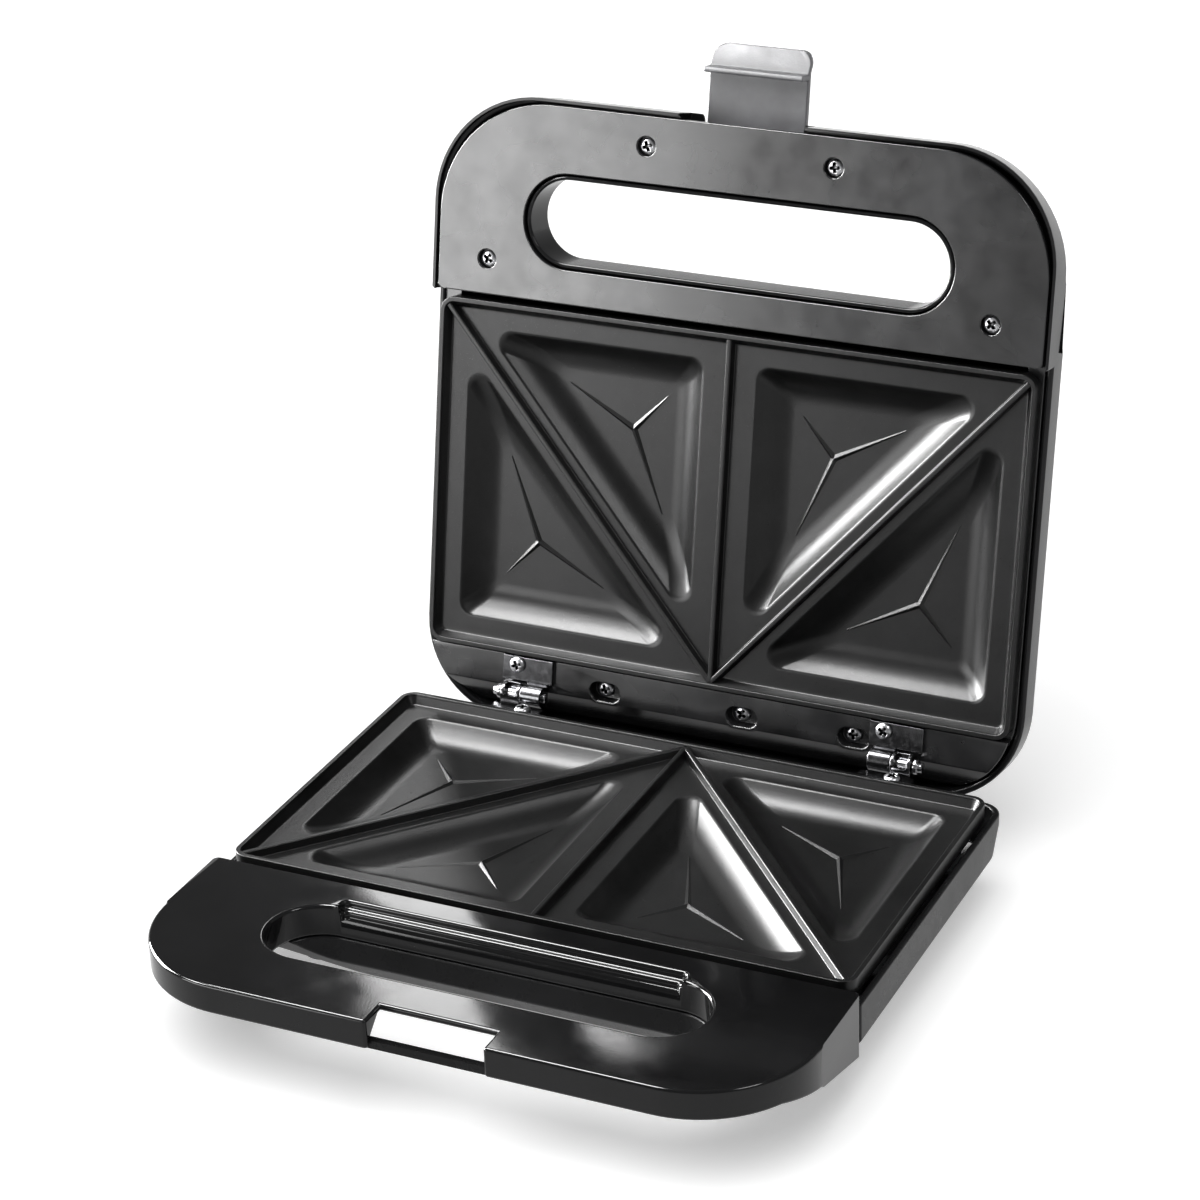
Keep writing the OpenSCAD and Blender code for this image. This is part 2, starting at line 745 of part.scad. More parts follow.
module base_handle_cover() {
    color("#141416") in_base() {
        difference() {
            union() {
                cover_skirt();
                slab(slot_wall_z, cover_z) stadium(base_slot_u + slot_wall_t, slot_mid_y, slot_r + slot_wall_t);
                slab(ledge_z[1] - ledge_t, cover_z)
                    outline(2 * (ledge_u + ledge_t), -base_slot_rear - 1, ledge_y[0] + ledge_t, 1, 3);
                for (p = grip_screws)
                    translate([p[0], p[1], grip_pad_z])
                        cylinder(h = cover_z - grip_pad_z - eps, r = boss_r);
            }
            slab(-tray_h, 1) stadium(base_slot_u, slot_mid_y, slot_r);
            for (i = [0, 1])
                slab(ledge_z[i], 1) outline(2 * (ledge_u - i), -base_slot_rear - 0.5, ledge_y[i], 1, 2);
            box(-notch_w / 2, notch_w / 2, cover_y0 - 1, notch_y, -tray_h, 1);
            for (p = grip_screws)
                translate([p[0], p[1], grip_pad_z - 1])
                    cylinder(h = grip_screw_l, r = screw_r + run_gap);
        }
        for (s = [-1, 1])
            along_u(s > 0 ? notch_w / 2 : -notch_w / 2 - cheek_rib_t,
                    s > 0 ? notch_w / 2 + cheek_rib_t : -notch_w / 2)
                polygon([[cover_y0 + 1, cover_z - 1], [notch_y, cover_z - 1], [bar_y, bar_top + fit_gap],
                    [cover_y0 + 1, bar_top + fit_gap]]);
    }
}

module lower_plate() {
    color("#3a3a3c") lower_half() cast_plate();
}

module lower_heating_element() {
    color("#8a8780") lower_half() heating_element();
}

module lower_heat_shield() {
    color("#b8bbbd") lower_half() heat_shield();
}

module lower_plate_screws() {
    color("#a9abad") lower_half()
        for (p = posts)
            translate([p[0], p[1], tube_head_z]) rotate([180, 0, 0]) screw(plate_screw_l);
}

module base_handle_screws() {
    color("#a9abad") in_base()
        for (p = grip_screws)
            translate([p[0], p[1], grip_seat - grip_h]) rotate([180, 0, 0]) screw(grip_screw_l);
}

module rubber_feet() {
    color("#2a2a2a") in_base()
        for (x = [-foot_u, foot_u], y = foot_y)
            translate([x, y, -stand_h]) {
                cylinder(h = foot_pad_h, r = foot_r);
                cylinder(h = foot_pad_h + foot_stem_h, r = foot_stem_r);
            }
}

module thermal_fuse() {
    color("#d8d3c4") in_base() rod_u(-fuse_l / 2, fuse_l / 2, fuse_r, fuse_y, pan_z + fuse_r);
}

module terminal_block() {
    color("#e6e2d6") in_base() difference() {
        box(block_x, block_x + block_l, block_y, block_y + block_w, pan_z, pan_z + block_h);
        for (i = [0:2])
            translate([block_x + block_l * (i + 0.5) / 3, block_y + block_w / 2, pan_z + block_h - 2])
                cylinder(h = 3, r = 1.6);
    }
}

module base_leads() {
    z = pan_z + lead_r * lead_bend + lead_gap;
    end_y = plate_d - end_v + cold_pin_l + lead_r * lead_bend + lead_gap;
    ends = [[plate_d - end_v - 4, z + 0.6], [end_y, element_w - 2], [end_y, element_w]];
    color("#c9b37a") in_base() {
        lead(concat([[block_x + block_l + lead_r * lead_bend + lead_gap, block_y + block_w - 3, z]],
            [for (e = ends) [-end_u, e[0], e[1]]]), lead_r);
        lead([[block_x + block_l + lead_r * lead_bend + lead_gap, block_y + 3, z],
            [-fuse_l / 2 - lead_r * lead_bend - lead_gap, fuse_y, z]], lead_r);
        lead(concat([[fuse_l / 2 + lead_r * lead_bend + lead_gap, fuse_y, z]],
            [for (e = ends) [end_u, e[0], e[1]]]), lead_r);
    }
}

module cord_gland() {
    color("#202022") in_base() translate([gland_x, base_y1, gland_z]) rotate([-90, 0, 0]) difference() {
        union() {
            translate([0, 0, -wall - 1.6]) cylinder(h = 1.6, r = gland_neck_r + 0.6);
            translate([0, 0, -wall - 1]) cylinder(h = wall + 2, r = gland_neck_r);
            cylinder(h = 1.8, r = gland_neck_r + 1.8);
            cylinder(h = gland_tail, r1 = gland_neck_r + 0.4, r2 = cord_r + 1);
        }
        translate([0, 0, -wall - 3]) cylinder(h = wall + gland_tail + 4, r = cord_r);
    }
}

// ---- hinges ----

// Half of the hinge that is fixed to the base; side is -1 or 1
module hinge_bracket(side, screw_x) {
    u0 = side > 0 ? leaf_in : -leaf_out;
    k0 = side > 0 ? knuckle_mid + fit_gap : -knuckle_out;
    k1 = side > 0 ? knuckle_out : -knuckle_mid - fit_gap;
    in_base() difference() {
        union() {
            box(u0, u0 + leaf_out - leaf_in, bracket_y0, axis_y - leaf_clear, bracket_z, bracket_z + leaf_t);
            box(k0, k1, axis_y - leaf_clear - 1, axis_y, bracket_z, bracket_z + leaf_t);
            rod_u(k0, k1, knuckle_r, axis_y, axis_z);
        }
        rod_u(k0 - 1, k1 + 1, pin_r + 0.02, axis_y, axis_z);
        box(k0 + knuckle_flange, k1 - knuckle_flange, axis_y - leaf_clear - 2, axis_y + 1,
            axis_z + 0.4, axis_z + knuckle_r + 1);
        translate([screw_x, bracket_screw_y, bracket_z - 1]) cylinder(h = leaf_t + 2, r = screw_hole_r);
    }
}

// Half of the hinge that is fixed to the lid
module hinge_leaf(side, screw_u) {
    u0 = side > 0 ? leaf_in : -leaf_out;
    k0 = side > 0 ? knuckle_in : -knuckle_mid;
    k1 = side > 0 ? knuckle_mid : -knuckle_in;
    upper_half() difference() {
        union() {
            box(u0, u0 + leaf_out - leaf_in, hinge_v + leaf_clear, leaf_v1, leaf_w, leaf_w + leaf_t);
            box(k0, k1, hinge_v, hinge_v + leaf_clear + 1, leaf_w, leaf_w + leaf_t);
            rod_u(k0, k1, knuckle_r, hinge_v, hinge_w);
        }
        rod_u(k0 - 1, k1 + 1, pin_r + run_gap, hinge_v, hinge_w);
        translate([screw_u, leaf_screw_v, leaf_w - 1]) cylinder(h = leaf_t + 2, r = screw_hole_r);
    }
}

module hinge_pin(side) {
    in_base() mirror([side > 0 ? 0 : 1, 0, 0]) {
        rod_u(knuckle_in - 0.8, knuckle_out + pin_tip, pin_r, axis_y, axis_z);
        rod_u(knuckle_out + 0.2, knuckle_out + 2, pin_r + 0.9, axis_y, axis_z);
    }
}

module hinge_bracket_left() {
    color("#c4c7c9") hinge_bracket(-1, bracket_screw_x[0]);
}

module hinge_bracket_right() {
    color("#c4c7c9") hinge_bracket(1, bracket_screw_x[1]);
}

module hinge_leaf_left() {
    color("#c4c7c9") hinge_leaf(-1, leaf_screw_u[0]);
}

module hinge_leaf_right() {
    color("#c4c7c9") hinge_leaf(1, leaf_screw_u[1]);
}

module hinge_pin_left() {
    color("#d3d5d6") hinge_pin(-1);
}

module hinge_pin_right() {
    color("#d3d5d6") hinge_pin(1);
}

module hinge_bracket_screws() {
    color("#a9abad") in_base()
        for (x = bracket_screw_x)
            translate([x, bracket_screw_y, bracket_z + leaf_t]) screw(hinge_screw_l);
}

module hinge_leaf_screws() {
    color("#a9abad") upper_half()
        for (u = leaf_screw_u)
            translate([u, leaf_screw_v, leaf_w + leaf_t]) screw(hinge_screw_l);
}

// ---- lid ----

// Body of the lid over the plate, drawn in by t
module lid_body_form(t, top_w) {
    hull() {
        slab(-lid_wall_h, top_w)
            outline(body_w - 2 * t, lid_v0 + t, lid_face_v1 + lid_ramp - t, lid_rear_r - t, 10);
        slab(t - lid_h, t - lid_h + eps)
            outline(body_w - 2 * (t + lid_slope), lid_v0 + t + lid_slope, lid_face_v1 - t,
                lid_rear_r - t - lid_slope / 2, 10);
    }
}

// Shallower form that also takes in the handle, drawn in by t
module lid_grip_form(t, top_w) {
    hull() {
        slab(-lid_lip_h, top_w)
            outline(body_w - 2 * t, lid_v0 + t, lid_v1 - t, lid_rear_r - t, corner_r - t);
        slab(-lid_edge_h, eps - lid_edge_h)
            outline(body_w - 2 * t, lid_v0 + t, lid_v1 - lid_edge_in - t, lid_rear_r - t, lid_edge_r - t);
        slab(t - lid_grip_h, t - lid_grip_h + eps)
            outline(body_w - 2 * (t + lid_grip_slope), lid_v0 + t + lid_grip_slope, lid_v1 - t - lid_grip_slope,
                lid_rear_r - t - lid_grip_slope, corner_r - t - lid_grip_slope);
    }
}

module lid_slot_area(t) {
    stadium(lid_slot_u - t, lid_slot_mid, lid_slot_r - t);
}

module lid_shell_body() {
    difference() {
        union() {
            lid_body_form(0, -casing_drop);
            lid_grip_form(0, 0);
        }
        lid_body_form(wall, eps);
        lid_grip_form(wall, eps);
        box(-body_w, body_w, lid_v0 - 1, lid_panel_v0 - 0.5, -casing_drop, 1);
        slab(-panel_t, 1)
            outline(body_w - 2 * lip_t, lid_panel_v0 - 1, lid_v1 - lip_t, 1, corner_r - lip_t);
    }
    slab(wall / 2 - lid_grip_h, -collar_drop) lid_slot_area(collar_gap);
    for (p = lid_screws)
        translate([p[0], p[1], wall / 2 - lid_grip_h])
            cylinder(h = lid_grip_h - wall / 2 - boss_drop, r = boss_r);
    for (p = rear_screws)
        translate([p[0], p[1], wall / 2 - lid_h])
            cylinder(h = lid_h - wall / 2 + liner_seat_w, r = boss_r);
    along_u(-lid_notch_w / 2 - cheek_t, lid_notch_w / 2 + cheek_t)
        polygon([
            [pocket_back - 2, -panel_t - 0.2], [pocket_back - 2, wall / 2 - lid_grip_h],
            [lid_v1 - lid_grip_slope - 0.5, wall / 2 - lid_grip_h],
            [lid_v1 - lid_edge_in - 0.6, 0.6 - lid_edge_h], [lid_v1 - 0.6, -panel_t - 0.2]]);
    for (s = [-1, 1])
        translate([s * board_post_u, lens_v, wall / 2 - lid_h])
            cylinder(h = lid_h - wall / 2 + board_w - board_t, r = 2.4);
}

module lid_shell() {
    color("#1b1b1d") upper_half() difference() {
        lid_shell_body();
        slab(-lid_h - 1, 1) lid_slot_area(collar_in);
        box(-lid_notch_w / 2, lid_notch_w / 2, pocket_back, lid_v1 + 1, notch_step_w, 1);
        box(-latch_w / 2 - latch_side_gap, latch_w / 2 + latch_side_gap, pocket_back, lid_v1 + 1, -lid_h, 1);
        rod_u(-latch_pin_l / 2, latch_pin_l / 2, latch_pin_r + 0.02, latch_v, latch_pin_w);
        for (p = lid_screws)
            translate([p[0], p[1], -boss_drop - 8]) cylinder(h = 9, r = screw_r + run_gap);
        for (p = rear_screws)
            translate([p[0], p[1], liner_seat_w - 12]) cylinder(h = 13, r = screw_r + run_gap);
        for (s = [-1, 1])
            translate([s * lens_u, lens_v, -lid_h - 1]) cylinder(h = wall + 2, r = lens_r + run_gap);
    }
}

module liner() {
    along_u(-inner_w / 2, inner_w / 2)
        polygon([[leaf_v1, liner_w], [liner_fold, liner_w], liner_end,
            [liner_end[0], liner_end[1] - liner_t], [liner_fold, liner_w - liner_t],
            [leaf_v1 - liner_t, liner_w - liner_t], [leaf_v1 - liner_t, tab_top_w], [leaf_v1, tab_top_w]]);
    for (p = rear_screws)
        slab(liner_seat_w, liner_w)
            translate([p[0] + recess_shift, 0]) stadium(recess_l / 2 + 1.6, p[1], recess_w / 2 + 1.2);
    for (s = [-1, 1])
        box(s > 0 ? leaf_in : -leaf_out, s > 0 ? leaf_out : -leaf_in, hinge_v + leaf_clear, leaf_v1,
            leaf_w - 9, leaf_w);
}

module frame_rails() {
    for (s = [-1, 1])
        box(s > 0 ? rail_u0 : -rail_u1, s > 0 ? rail_u1 : -rail_u0, leaf_v1 - liner_t,
            lid_panel_v0 + wall, tab_top_w, under_w);
    box(-rail_u1, rail_u1, lid_panel_v0, lid_panel_v0 + wall, tab_top_w, -panel_t);
}

module lid_inner_frame() {
    color("#26262a") upper_half() difference() {
        union() {
            intersection() {
                union() {
                    liner();
                    frame_rails();
                }
                slab(-lid_wall_h, 0)
                    outline(2 * rail_u1, lid_v0 + wall + 0.5, lid_v1 - 9, lid_rear_r - wall - 0.5, 9);
            }
            slab(-panel_t, 0)
                outline(body_w - 2 * (lip_t + lip_gap), lid_panel_v0, lid_v1 - lip_t - lip_gap,
                    2, lid_panel_r);
            for (p = lid_screws)
                translate([p[0], p[1], -boss_drop]) cylinder(h = boss_drop, r = head_hole_r + 1.4);
        }
        slab(-boss_drop - 1, 1) lid_slot_area(0);
        for (p = lid_screws)
            translate([p[0], p[1], 0]) {
                translate([0, 0, -head_seat]) cylinder(h = head_seat + 1, r = head_hole_r);
                translate([0, 0, -boss_drop - 1]) cylinder(h = boss_drop, r = screw_hole_r);
            }
        for (p = rear_screws) {
            slab(liner_w - recess_d, 1) translate([p[0] + recess_shift, 0]) stadium(recess_l / 2, p[1], recess_w / 2);
            translate([p[0], p[1], liner_seat_w - 1]) cylinder(h = 5, r = screw_hole_r);
        }
        for (u = leaf_screw_u)
            translate([u, leaf_screw_v, leaf_w - 8]) cylinder(h = 9, r = screw_r + run_gap);
    }
}

module upper_plate() {
    color("#3a3a3c") upper_half() cast_plate();
}

module upper_heating_element() {
    color("#8a8780") upper_half() heating_element();
}

module upper_heat_shield() {
    color("#b8bbbd") upper_half() heat_shield();
}

module upper_plate_screws() {
    color("#a9abad") upper_half()
        for (p = posts)
            translate([p[0], p[1], shield_w]) rotate([180, 0, 0]) screw(plate_screw_l + tube_head_z - shield_w);
}

module lid_handle_screws() {
    color("#a9abad") upper_half()
        for (p = lid_screws) translate([p[0], p[1], -head_seat]) screw(lid_screw_l);
}

module lid_rear_screws() {
    color("#a9abad") upper_half()
        for (p = rear_screws) translate([p[0], p[1], liner_w - recess_d]) screw(rear_screw_l);
}

module thermostat() {
    color("#cfc8b6") upper_half() translate([0, plate_d / 2 - 3, post_w]) {
        cylinder(h = thermostat_h, r = thermostat_r);
        cylinder(h = under_w - post_w, r = thermostat_r - 1.2);
    }
}

module lid_leads() {
    r = lead_r;
    v0 = end_v - cold_pin_l - r * lead_bend - lead_gap;
    w = board_w - board_t;
    color("#c9b37a") upper_half()
        for (s = [-1, 1])
            lead([[s * end_u, v0, element_w], [s * lead_u, v0, element_w - 2], [s * lead_u, v0 + 4, lead_w],
                [s * lead_u, lens_v - board_v - 14, lead_w], [s * lead_u, lens_v - board_v - r * lead_bend - lead_gap, w]], r);
}

module lamp_board() {
    color("#3f6b3a") upper_half() difference() {
        box(-board_u, board_u, lens_v - board_v, lens_v + board_v, board_w - board_t, board_w);
        for (s = [-1, 1])
            translate([s * (board_post_u + 3.6), lens_v, board_w - 4]) cylinder(h = 9, r = 0.8);
    }
}

module indicator_lamps() {
    color("#e08a4a") upper_half()
        for (s = [-1, 1])
            translate([s * lens_u, lens_v, wall + lens_lip - lid_h])
                cylinder(h = board_w - board_t + lid_h - wall - lens_lip, r = lens_r - 1.2);
}

module lens(u) {
    upper_half() translate([u, lens_v, -lid_h]) {
        translate([0, 0, -0.8]) cylinder(h = wall + 0.9, r = lens_r);
        translate([0, 0, wall]) cylinder(h = lens_lip, r = lens_r + 1.2);
    }
}

module power_lens() {
    color("#c8281e") lens(-lens_u);
}

module ready_lens() {
    color("#2f9a3c") lens(lens_u);
}

// ---- latch ----

module latch_pin() {
    color("#d3d5d6") upper_half()
        rod_u(0.1 - latch_pin_l / 2, latch_pin_l / 2 - 0.1, latch_pin_r, latch_v, latch_pin_w);
}

module latch_profile() {
    hook_a = hook_reach + hook_t;
    tab_a = hook_a + 0.4;
    polygon([
        [latch_tail, latch_b], [latch_tail, latch_b - latch_t], [tab_a, latch_b - latch_t],
        [latch_tip, latch_b - latch_t - tab_flare], [latch_tip, latch_b - tab_flare], [tab_a, latch_b],
        [hook_a, latch_b], [hook_a, -0.8], [hook_reach + 0.6, 0], [hook_reach, -0.6], [hook_reach, latch_b],
        [latch_web, latch_b], [latch_web, 0], [-latch_web, 0], [-latch_web, latch_b]]);
    circle(latch_hub_r);
}

module latch() {
    color("#8f9194") upper_half() translate([0, latch_v, latch_pin_w]) difference() {
        intersection() {
            along_u(-latch_w / 2, latch_w / 2) latch_profile();
            slab(-lid_h, lid_h) outline(latch_w, -latch_hub_r - 8, latch_tip, 1, latch_corner_r);
        }
        rod_u(-latch_w, latch_w, latch_pin_r + run_gap, 0, 0);
    }
}

// ---- drawing ----

base_shell();
base_handle_cover();
lower_plate();
lower_heating_element();
lower_heat_shield();
lower_plate_screws();
base_handle_screws();
rubber_feet();
thermal_fuse();
terminal_block();
base_leads();
cord_gland();
hinge_bracket_left();
hinge_bracket_right();
hinge_bracket_screws();
hinge_pin_left();
hinge_pin_right();
lid_shell();
lid_inner_frame();
upper_plate();
upper_heating_element();
upper_heat_shield();
upper_plate_screws();
lid_handle_screws();
lid_rear_screws();
hinge_leaf_left();
hinge_leaf_right();
hinge_leaf_screws();
thermostat();
lid_leads();
lamp_board();
indicator_lamps();
power_lens();
ready_lens();
latch_pin();
latch();
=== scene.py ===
"""Sandwich toaster, open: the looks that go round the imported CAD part.

Lengths are in millimetres, and the placings BASE, LOWER and UPPER turn them into metres.
A plate's own frame has u across it, v from its hinge edge to the handle, w out of its face.
"""

import json
from math import atan2, cos, pi, radians, sin, tan

import bmesh
import bpy
from mathutils import Matrix, Vector
from mathutils.geometry import delaunay_2d_cdt


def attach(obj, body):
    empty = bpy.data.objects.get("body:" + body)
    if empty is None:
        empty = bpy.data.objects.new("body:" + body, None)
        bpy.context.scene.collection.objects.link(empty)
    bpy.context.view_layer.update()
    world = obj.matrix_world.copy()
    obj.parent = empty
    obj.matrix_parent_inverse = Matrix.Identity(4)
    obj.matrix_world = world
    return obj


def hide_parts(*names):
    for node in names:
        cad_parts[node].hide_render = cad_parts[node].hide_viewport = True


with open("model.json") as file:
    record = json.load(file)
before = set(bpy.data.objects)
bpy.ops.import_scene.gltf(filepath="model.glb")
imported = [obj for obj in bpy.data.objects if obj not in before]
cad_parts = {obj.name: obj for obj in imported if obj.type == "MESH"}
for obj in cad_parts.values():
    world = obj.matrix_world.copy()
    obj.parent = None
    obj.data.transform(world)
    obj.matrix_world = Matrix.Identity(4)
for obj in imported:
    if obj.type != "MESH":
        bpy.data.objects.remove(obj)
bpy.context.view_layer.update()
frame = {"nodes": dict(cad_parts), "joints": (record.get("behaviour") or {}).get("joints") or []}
nodes = frame["nodes"]

hinge = next(joint for joint in frame["joints"] if joint["name"] == "lid_hinge")

MM = 0.001

# ---- sizes of part.scad, under the names that it gives them ----

# Cooking plates
PLATE_W = 226
PLATE_D = 129.6
PLATE_R = 5.5
PLATE_T = 2.8
RIM_H = 3.6
RIM_TOP = 1.6
RIM_SLOPE = 2
RIB_W = 2.8
RIB_DROP = 0.6
RIB_END = 2
POCKET_DEPTH = 6.6
POCKET_EDGE_GAP = 11
POCKET_MID_GAP = 10.5
POCKET_RIB_GAP = 5.5
POCKET_R = 5
FIN_T = 1.1
FIN_HUB = (28, 30)
FIN_REACH = 0.45
CLOSED_GAP = 1

# Body, handles and hinges
ORIGIN_Y = 68.2
STAND_H = 38
BODY_W = PLATE_W + 7
WALL = 2.4
HANDLE_REACH = 75
GRIP_H = 12.5
GRIP_SEAT = 1.9
LID_H = 33
LINER_W = -2.2
HINGE_INSET = 33       # from the plate's side to the outer end of a hinge
KNUCKLE_L = 7.9        # length of a leaf's share of the knuckle
LEAF_L = 18            # from that end to the inner side of the leaf
KNUCKLE_R = 4
LEAF_T = 1.6

# Lenses and screws
LENS_R = 4
LENS_U = 12
LENS_SETBACK = 12
HEAD_R = 2.9
HEAD_H = 1.8
SCREW_R = 1.5
HEAD_SEAT = 2.6        # depth of a screw seat in the lid's face
RECESS_D = 5.4         # depth of a screw recess in the liner
LID_SCREW_L = 9
REAR_SCREW_L = 12
HINGE_SCREW_L = 7
GRIP_SCREW_L = 6.5

# Worked out from these
FLAT_W = -RIM_H
AXIS_Y = hinge["pos_m"][1] / MM + ORIGIN_Y
AXIS_Z = hinge["pos_m"][2] / MM - STAND_H
OPEN_ANGLE = radians(hinge["range_deg"][1])
FRONT_V = PLATE_D + HANDLE_REACH
KNUCKLE_OUT = PLATE_W / 2 - HINGE_INSET
KNUCKLE_MID = KNUCKLE_OUT - KNUCKLE_L
LEAF_IN = KNUCKLE_OUT - LEAF_L
BRACKET_Z = AXIS_Z - KNUCKLE_R
LEAF_W = CLOSED_GAP - AXIS_Z - KNUCKLE_R
RIB_ANGLE = atan2(PLATE_D - 2 * RIB_END, PLATE_W / 2 - RIB_END)

# Places of the screws
FACE_SCREWS = [(s * u, v) for s in (-1, 1)
               for u, v in ((35, FRONT_V - 12.8), (BODY_W / 2 - 21.5, PLATE_D + 15.4))]
LINER_SCREWS = [(u, -9.2) for u in (19 - LEAF_IN, 11, LEAF_IN - 8)]
LEAF_SCREWS = [(u, -3.8) for u in (-KNUCKLE_MID - 3.9, KNUCKLE_MID - 4.6)]
BRACKET_SCREWS = [(x, PLATE_D + 6.6) for x in (3.1 - KNUCKLE_MID, KNUCKLE_MID + 2.9)]
GRIP_SCREWS = [(s * x, y) for s in (-1, 1)
               for x, y in ((40, 17.5 - HANDLE_REACH), (BODY_W / 2 - 16.5, 35 - HANDLE_REACH))]

# ---- sizes that only the looks have ----

POCKET_RUN = 12.5      # how far a pocket wall's curve runs in to the floor
POCKET_LIP = 1.1       # rounded edge round a pocket
WALL_POWER = 2.3       # how hollow the wall's curve is
WALL_SECTIONS = 12
CORNER_SHRINK = 0.22   # loss of a pocket's corner radius for each millimetre further in
MIN_POCKET_R = 2.4     # least corner radius of a pocket, at its floor
MIN_RIM_R = 2.0        # least corner radius of the rim, at its inner foot
RIM_DRAFT = 0.15       # how far the rim's outer side leans in at its lower edge
RIM_RUNOUT = 1.6       # flat ring inside the rim's foot
RIM_RADII = (0.2, 0.25, 0.3, 0.9)    # on its side, outer edge, inner edge and foot
CASTING_T = PLATE_T * 0.7
SKIN_MERGE = 0.0001    # points of a plate's skin that are closer than this become one

FIN_SPREAD = 1.1       # half width at the hub, in fin thicknesses
FIN_TAPER = 0.85       # how much of that the tip has lost
FIN_SLOPE = 0.66       # height over half width
FIN_STEPS = 10
# Section of a fin: (sideways in half widths, up in heights)
FIN_SECTION = ((-1.3, -0.3), (-1.0, 0.0), (-0.08, 0.95), (0.08, 0.95), (1.0, 0.0), (1.3, -0.3))

RIB_FOOT = 0.5         # flat foot on each side of a rib
RIB_BATTER = 0.5       # how far a rib's side leans in
RIB_SINK = 0.4         # how deep the section's ends go into the flat
RIB_FOOT_R = 0.3       # roundings of the foot
RIB_TOP_R = 0.5        # roundings of the top edges
RIB_CORNER_IN = 0.4    # how far a slanted rib stops short of the plate's corner

HEAD_CELLS = 34        # rings of a screw's head, from its rim to its middle
HEAD_STEPS = 48        # points of each ring
HEAD_DOME = 0.45       # share of the head's height that falls away to the rim
CROSS_ARM = HEAD_R * 0.66
CROSS_HALF = HEAD_R * 0.2
CROSS_DEPTH = HEAD_H * 0.75
CROSS_STEEP = 3        # the cross is at full depth a third of the way in

LENS_DOME = 0.8        # how far a lens stands out of the casing
LENS_COLLAR = 1.2      # width and height of its collar
LENS_AXIS_R = 0.2      # the profile starts and ends this far from the axis
LENS_STEPS = 40

PIECE_MERGE = 0.0002         # points of a piece that are closer than this become one
CAD_MERGE = 0.002            # and points of a CAD node before its edges are rounded
FLAT_TURN = radians(0.6)     # faces that turn by less than this are one flat face
SHARP_TURN = radians(28)     # edges that turn by more than this are rounded

# ---- placings, from a half's own frame in millimetres to the row frame ----

BASE = Matrix.Scale(MM, 4) @ Matrix.Translation((0, -ORIGIN_Y, STAND_H))
LOWER = BASE @ Matrix.Translation((0, PLATE_D, 0)) @ Matrix.Rotation(pi, 4, "Z")
OPENED = (Matrix.Translation((0, AXIS_Y, AXIS_Z)) @ Matrix.Rotation(-OPEN_ANGLE, 4, "X")
          @ Matrix.Translation((0, PLATE_D - AXIS_Y, CLOSED_GAP - AXIS_Z)))
UPPER = BASE @ OPENED @ Matrix.Rotation(pi, 4, "X")
FACE_DOWN = Matrix.Rotation(pi, 4, "X")


# ---- mesh helpers ----

def add_piece(name, bm, body, node, material, smooth_angle=35):
    """Turns a bmesh into a piece that rides on a body and stands for a CAD node."""
    bmesh.ops.remove_doubles(bm, verts=bm.verts, dist=PIECE_MERGE * MM)
    bmesh.ops.recalc_face_normals(bm, faces=bm.faces)
    mesh = bpy.data.meshes.new(name)
    bm.to_mesh(mesh)
    bm.free()
    mesh.polygons.foreach_set("use_smooth", [True] * len(mesh.polygons))
    mesh.set_sharp_from_angle(angle=radians(smooth_angle))
    mesh.materials.clear()     # also sets every face to the first slot
    mesh.materials.append(material)
    piece = bpy.data.objects.new(name, mesh)
    bpy.context.scene.collection.objects.link(piece)
    weigh = piece.modifiers.new("flat faces stay flat", "WEIGHTED_NORMAL")
    weigh.keep_sharp = True
    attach(piece, body)
    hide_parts(node)
    return piece


def loft(bm, rings):
    """Quads between closed rings that have the same number of points."""
    made = [[bm.verts.new(p) for p in ring] for ring in rings]
    count = len(rings[0])
    for low, high in zip(made, made[1:]):
        for i in range(count):
            j = (i + 1) % count
            bm.faces.new((low[i], low[j], high[j], high[i]))
    return made


def close_ends(bm, made):
    """Caps the first and the last ring of a loft."""
    bm.faces.new(made[0])
    bm.faces.new(made[-1])


def smooth_path(corners, steps):
    """Points (a, b) along a path whose corners (a, b, radius) are rounded."""
    path = []
    for i, (a, b, radius) in enumerate(corners):
        point = Vector((a, b))
        if radius == 0:
            path.append(point)
            continue
        back = (Vector(corners[i - 1][:2]) - point).normalized()
        ahead = (Vector(corners[i + 1][:2]) - point).normalized()
        half = back.angle(ahead) / 2
        centre = point + (back + ahead).normalized() * radius / sin(half)
        start = point + back * radius / tan(half) - centre
        end = point + ahead * radius / tan(half) - centre
        turn = start.angle(end)
        for k in range(steps + 1):
            share = k / steps
            blend = start * sin((1 - share) * turn) + end * sin(share * turn)
            path.append(centre + blend / sin(turn))
    return path


def round_outline(width, v0, v1, r, steps=10):
    """Rectangle about u = 0 with rounded corners, anticlockwise."""
    points = []
    for side, v, start in ((1, v1, 0), (-1, v1, 90), (-1, v0, 180), (1, v0, 270)):
        centre_u = side * (width / 2 - r)
        centre_v = v - r if start < 180 else v + r
        for i in range(steps + 1):
            angle = radians(start + 90 * i / steps)
            points.append((centre_u + r * cos(angle), centre_v + r * sin(angle)))
    return points


def circle(radius, steps):
    """Points about the origin, anticlockwise."""
    angles = [2 * pi * k / steps for k in range(steps)]
    return [(radius * cos(angle), radius * sin(angle)) for angle in angles]


def at_height(points, w):
    """Flat points, raised to a height."""
    return [Vector((u, v, w)) for u, v in points]


def flat_points(ring):
    """A ring without its heights."""
    return [(p.x, p.y) for p in ring]


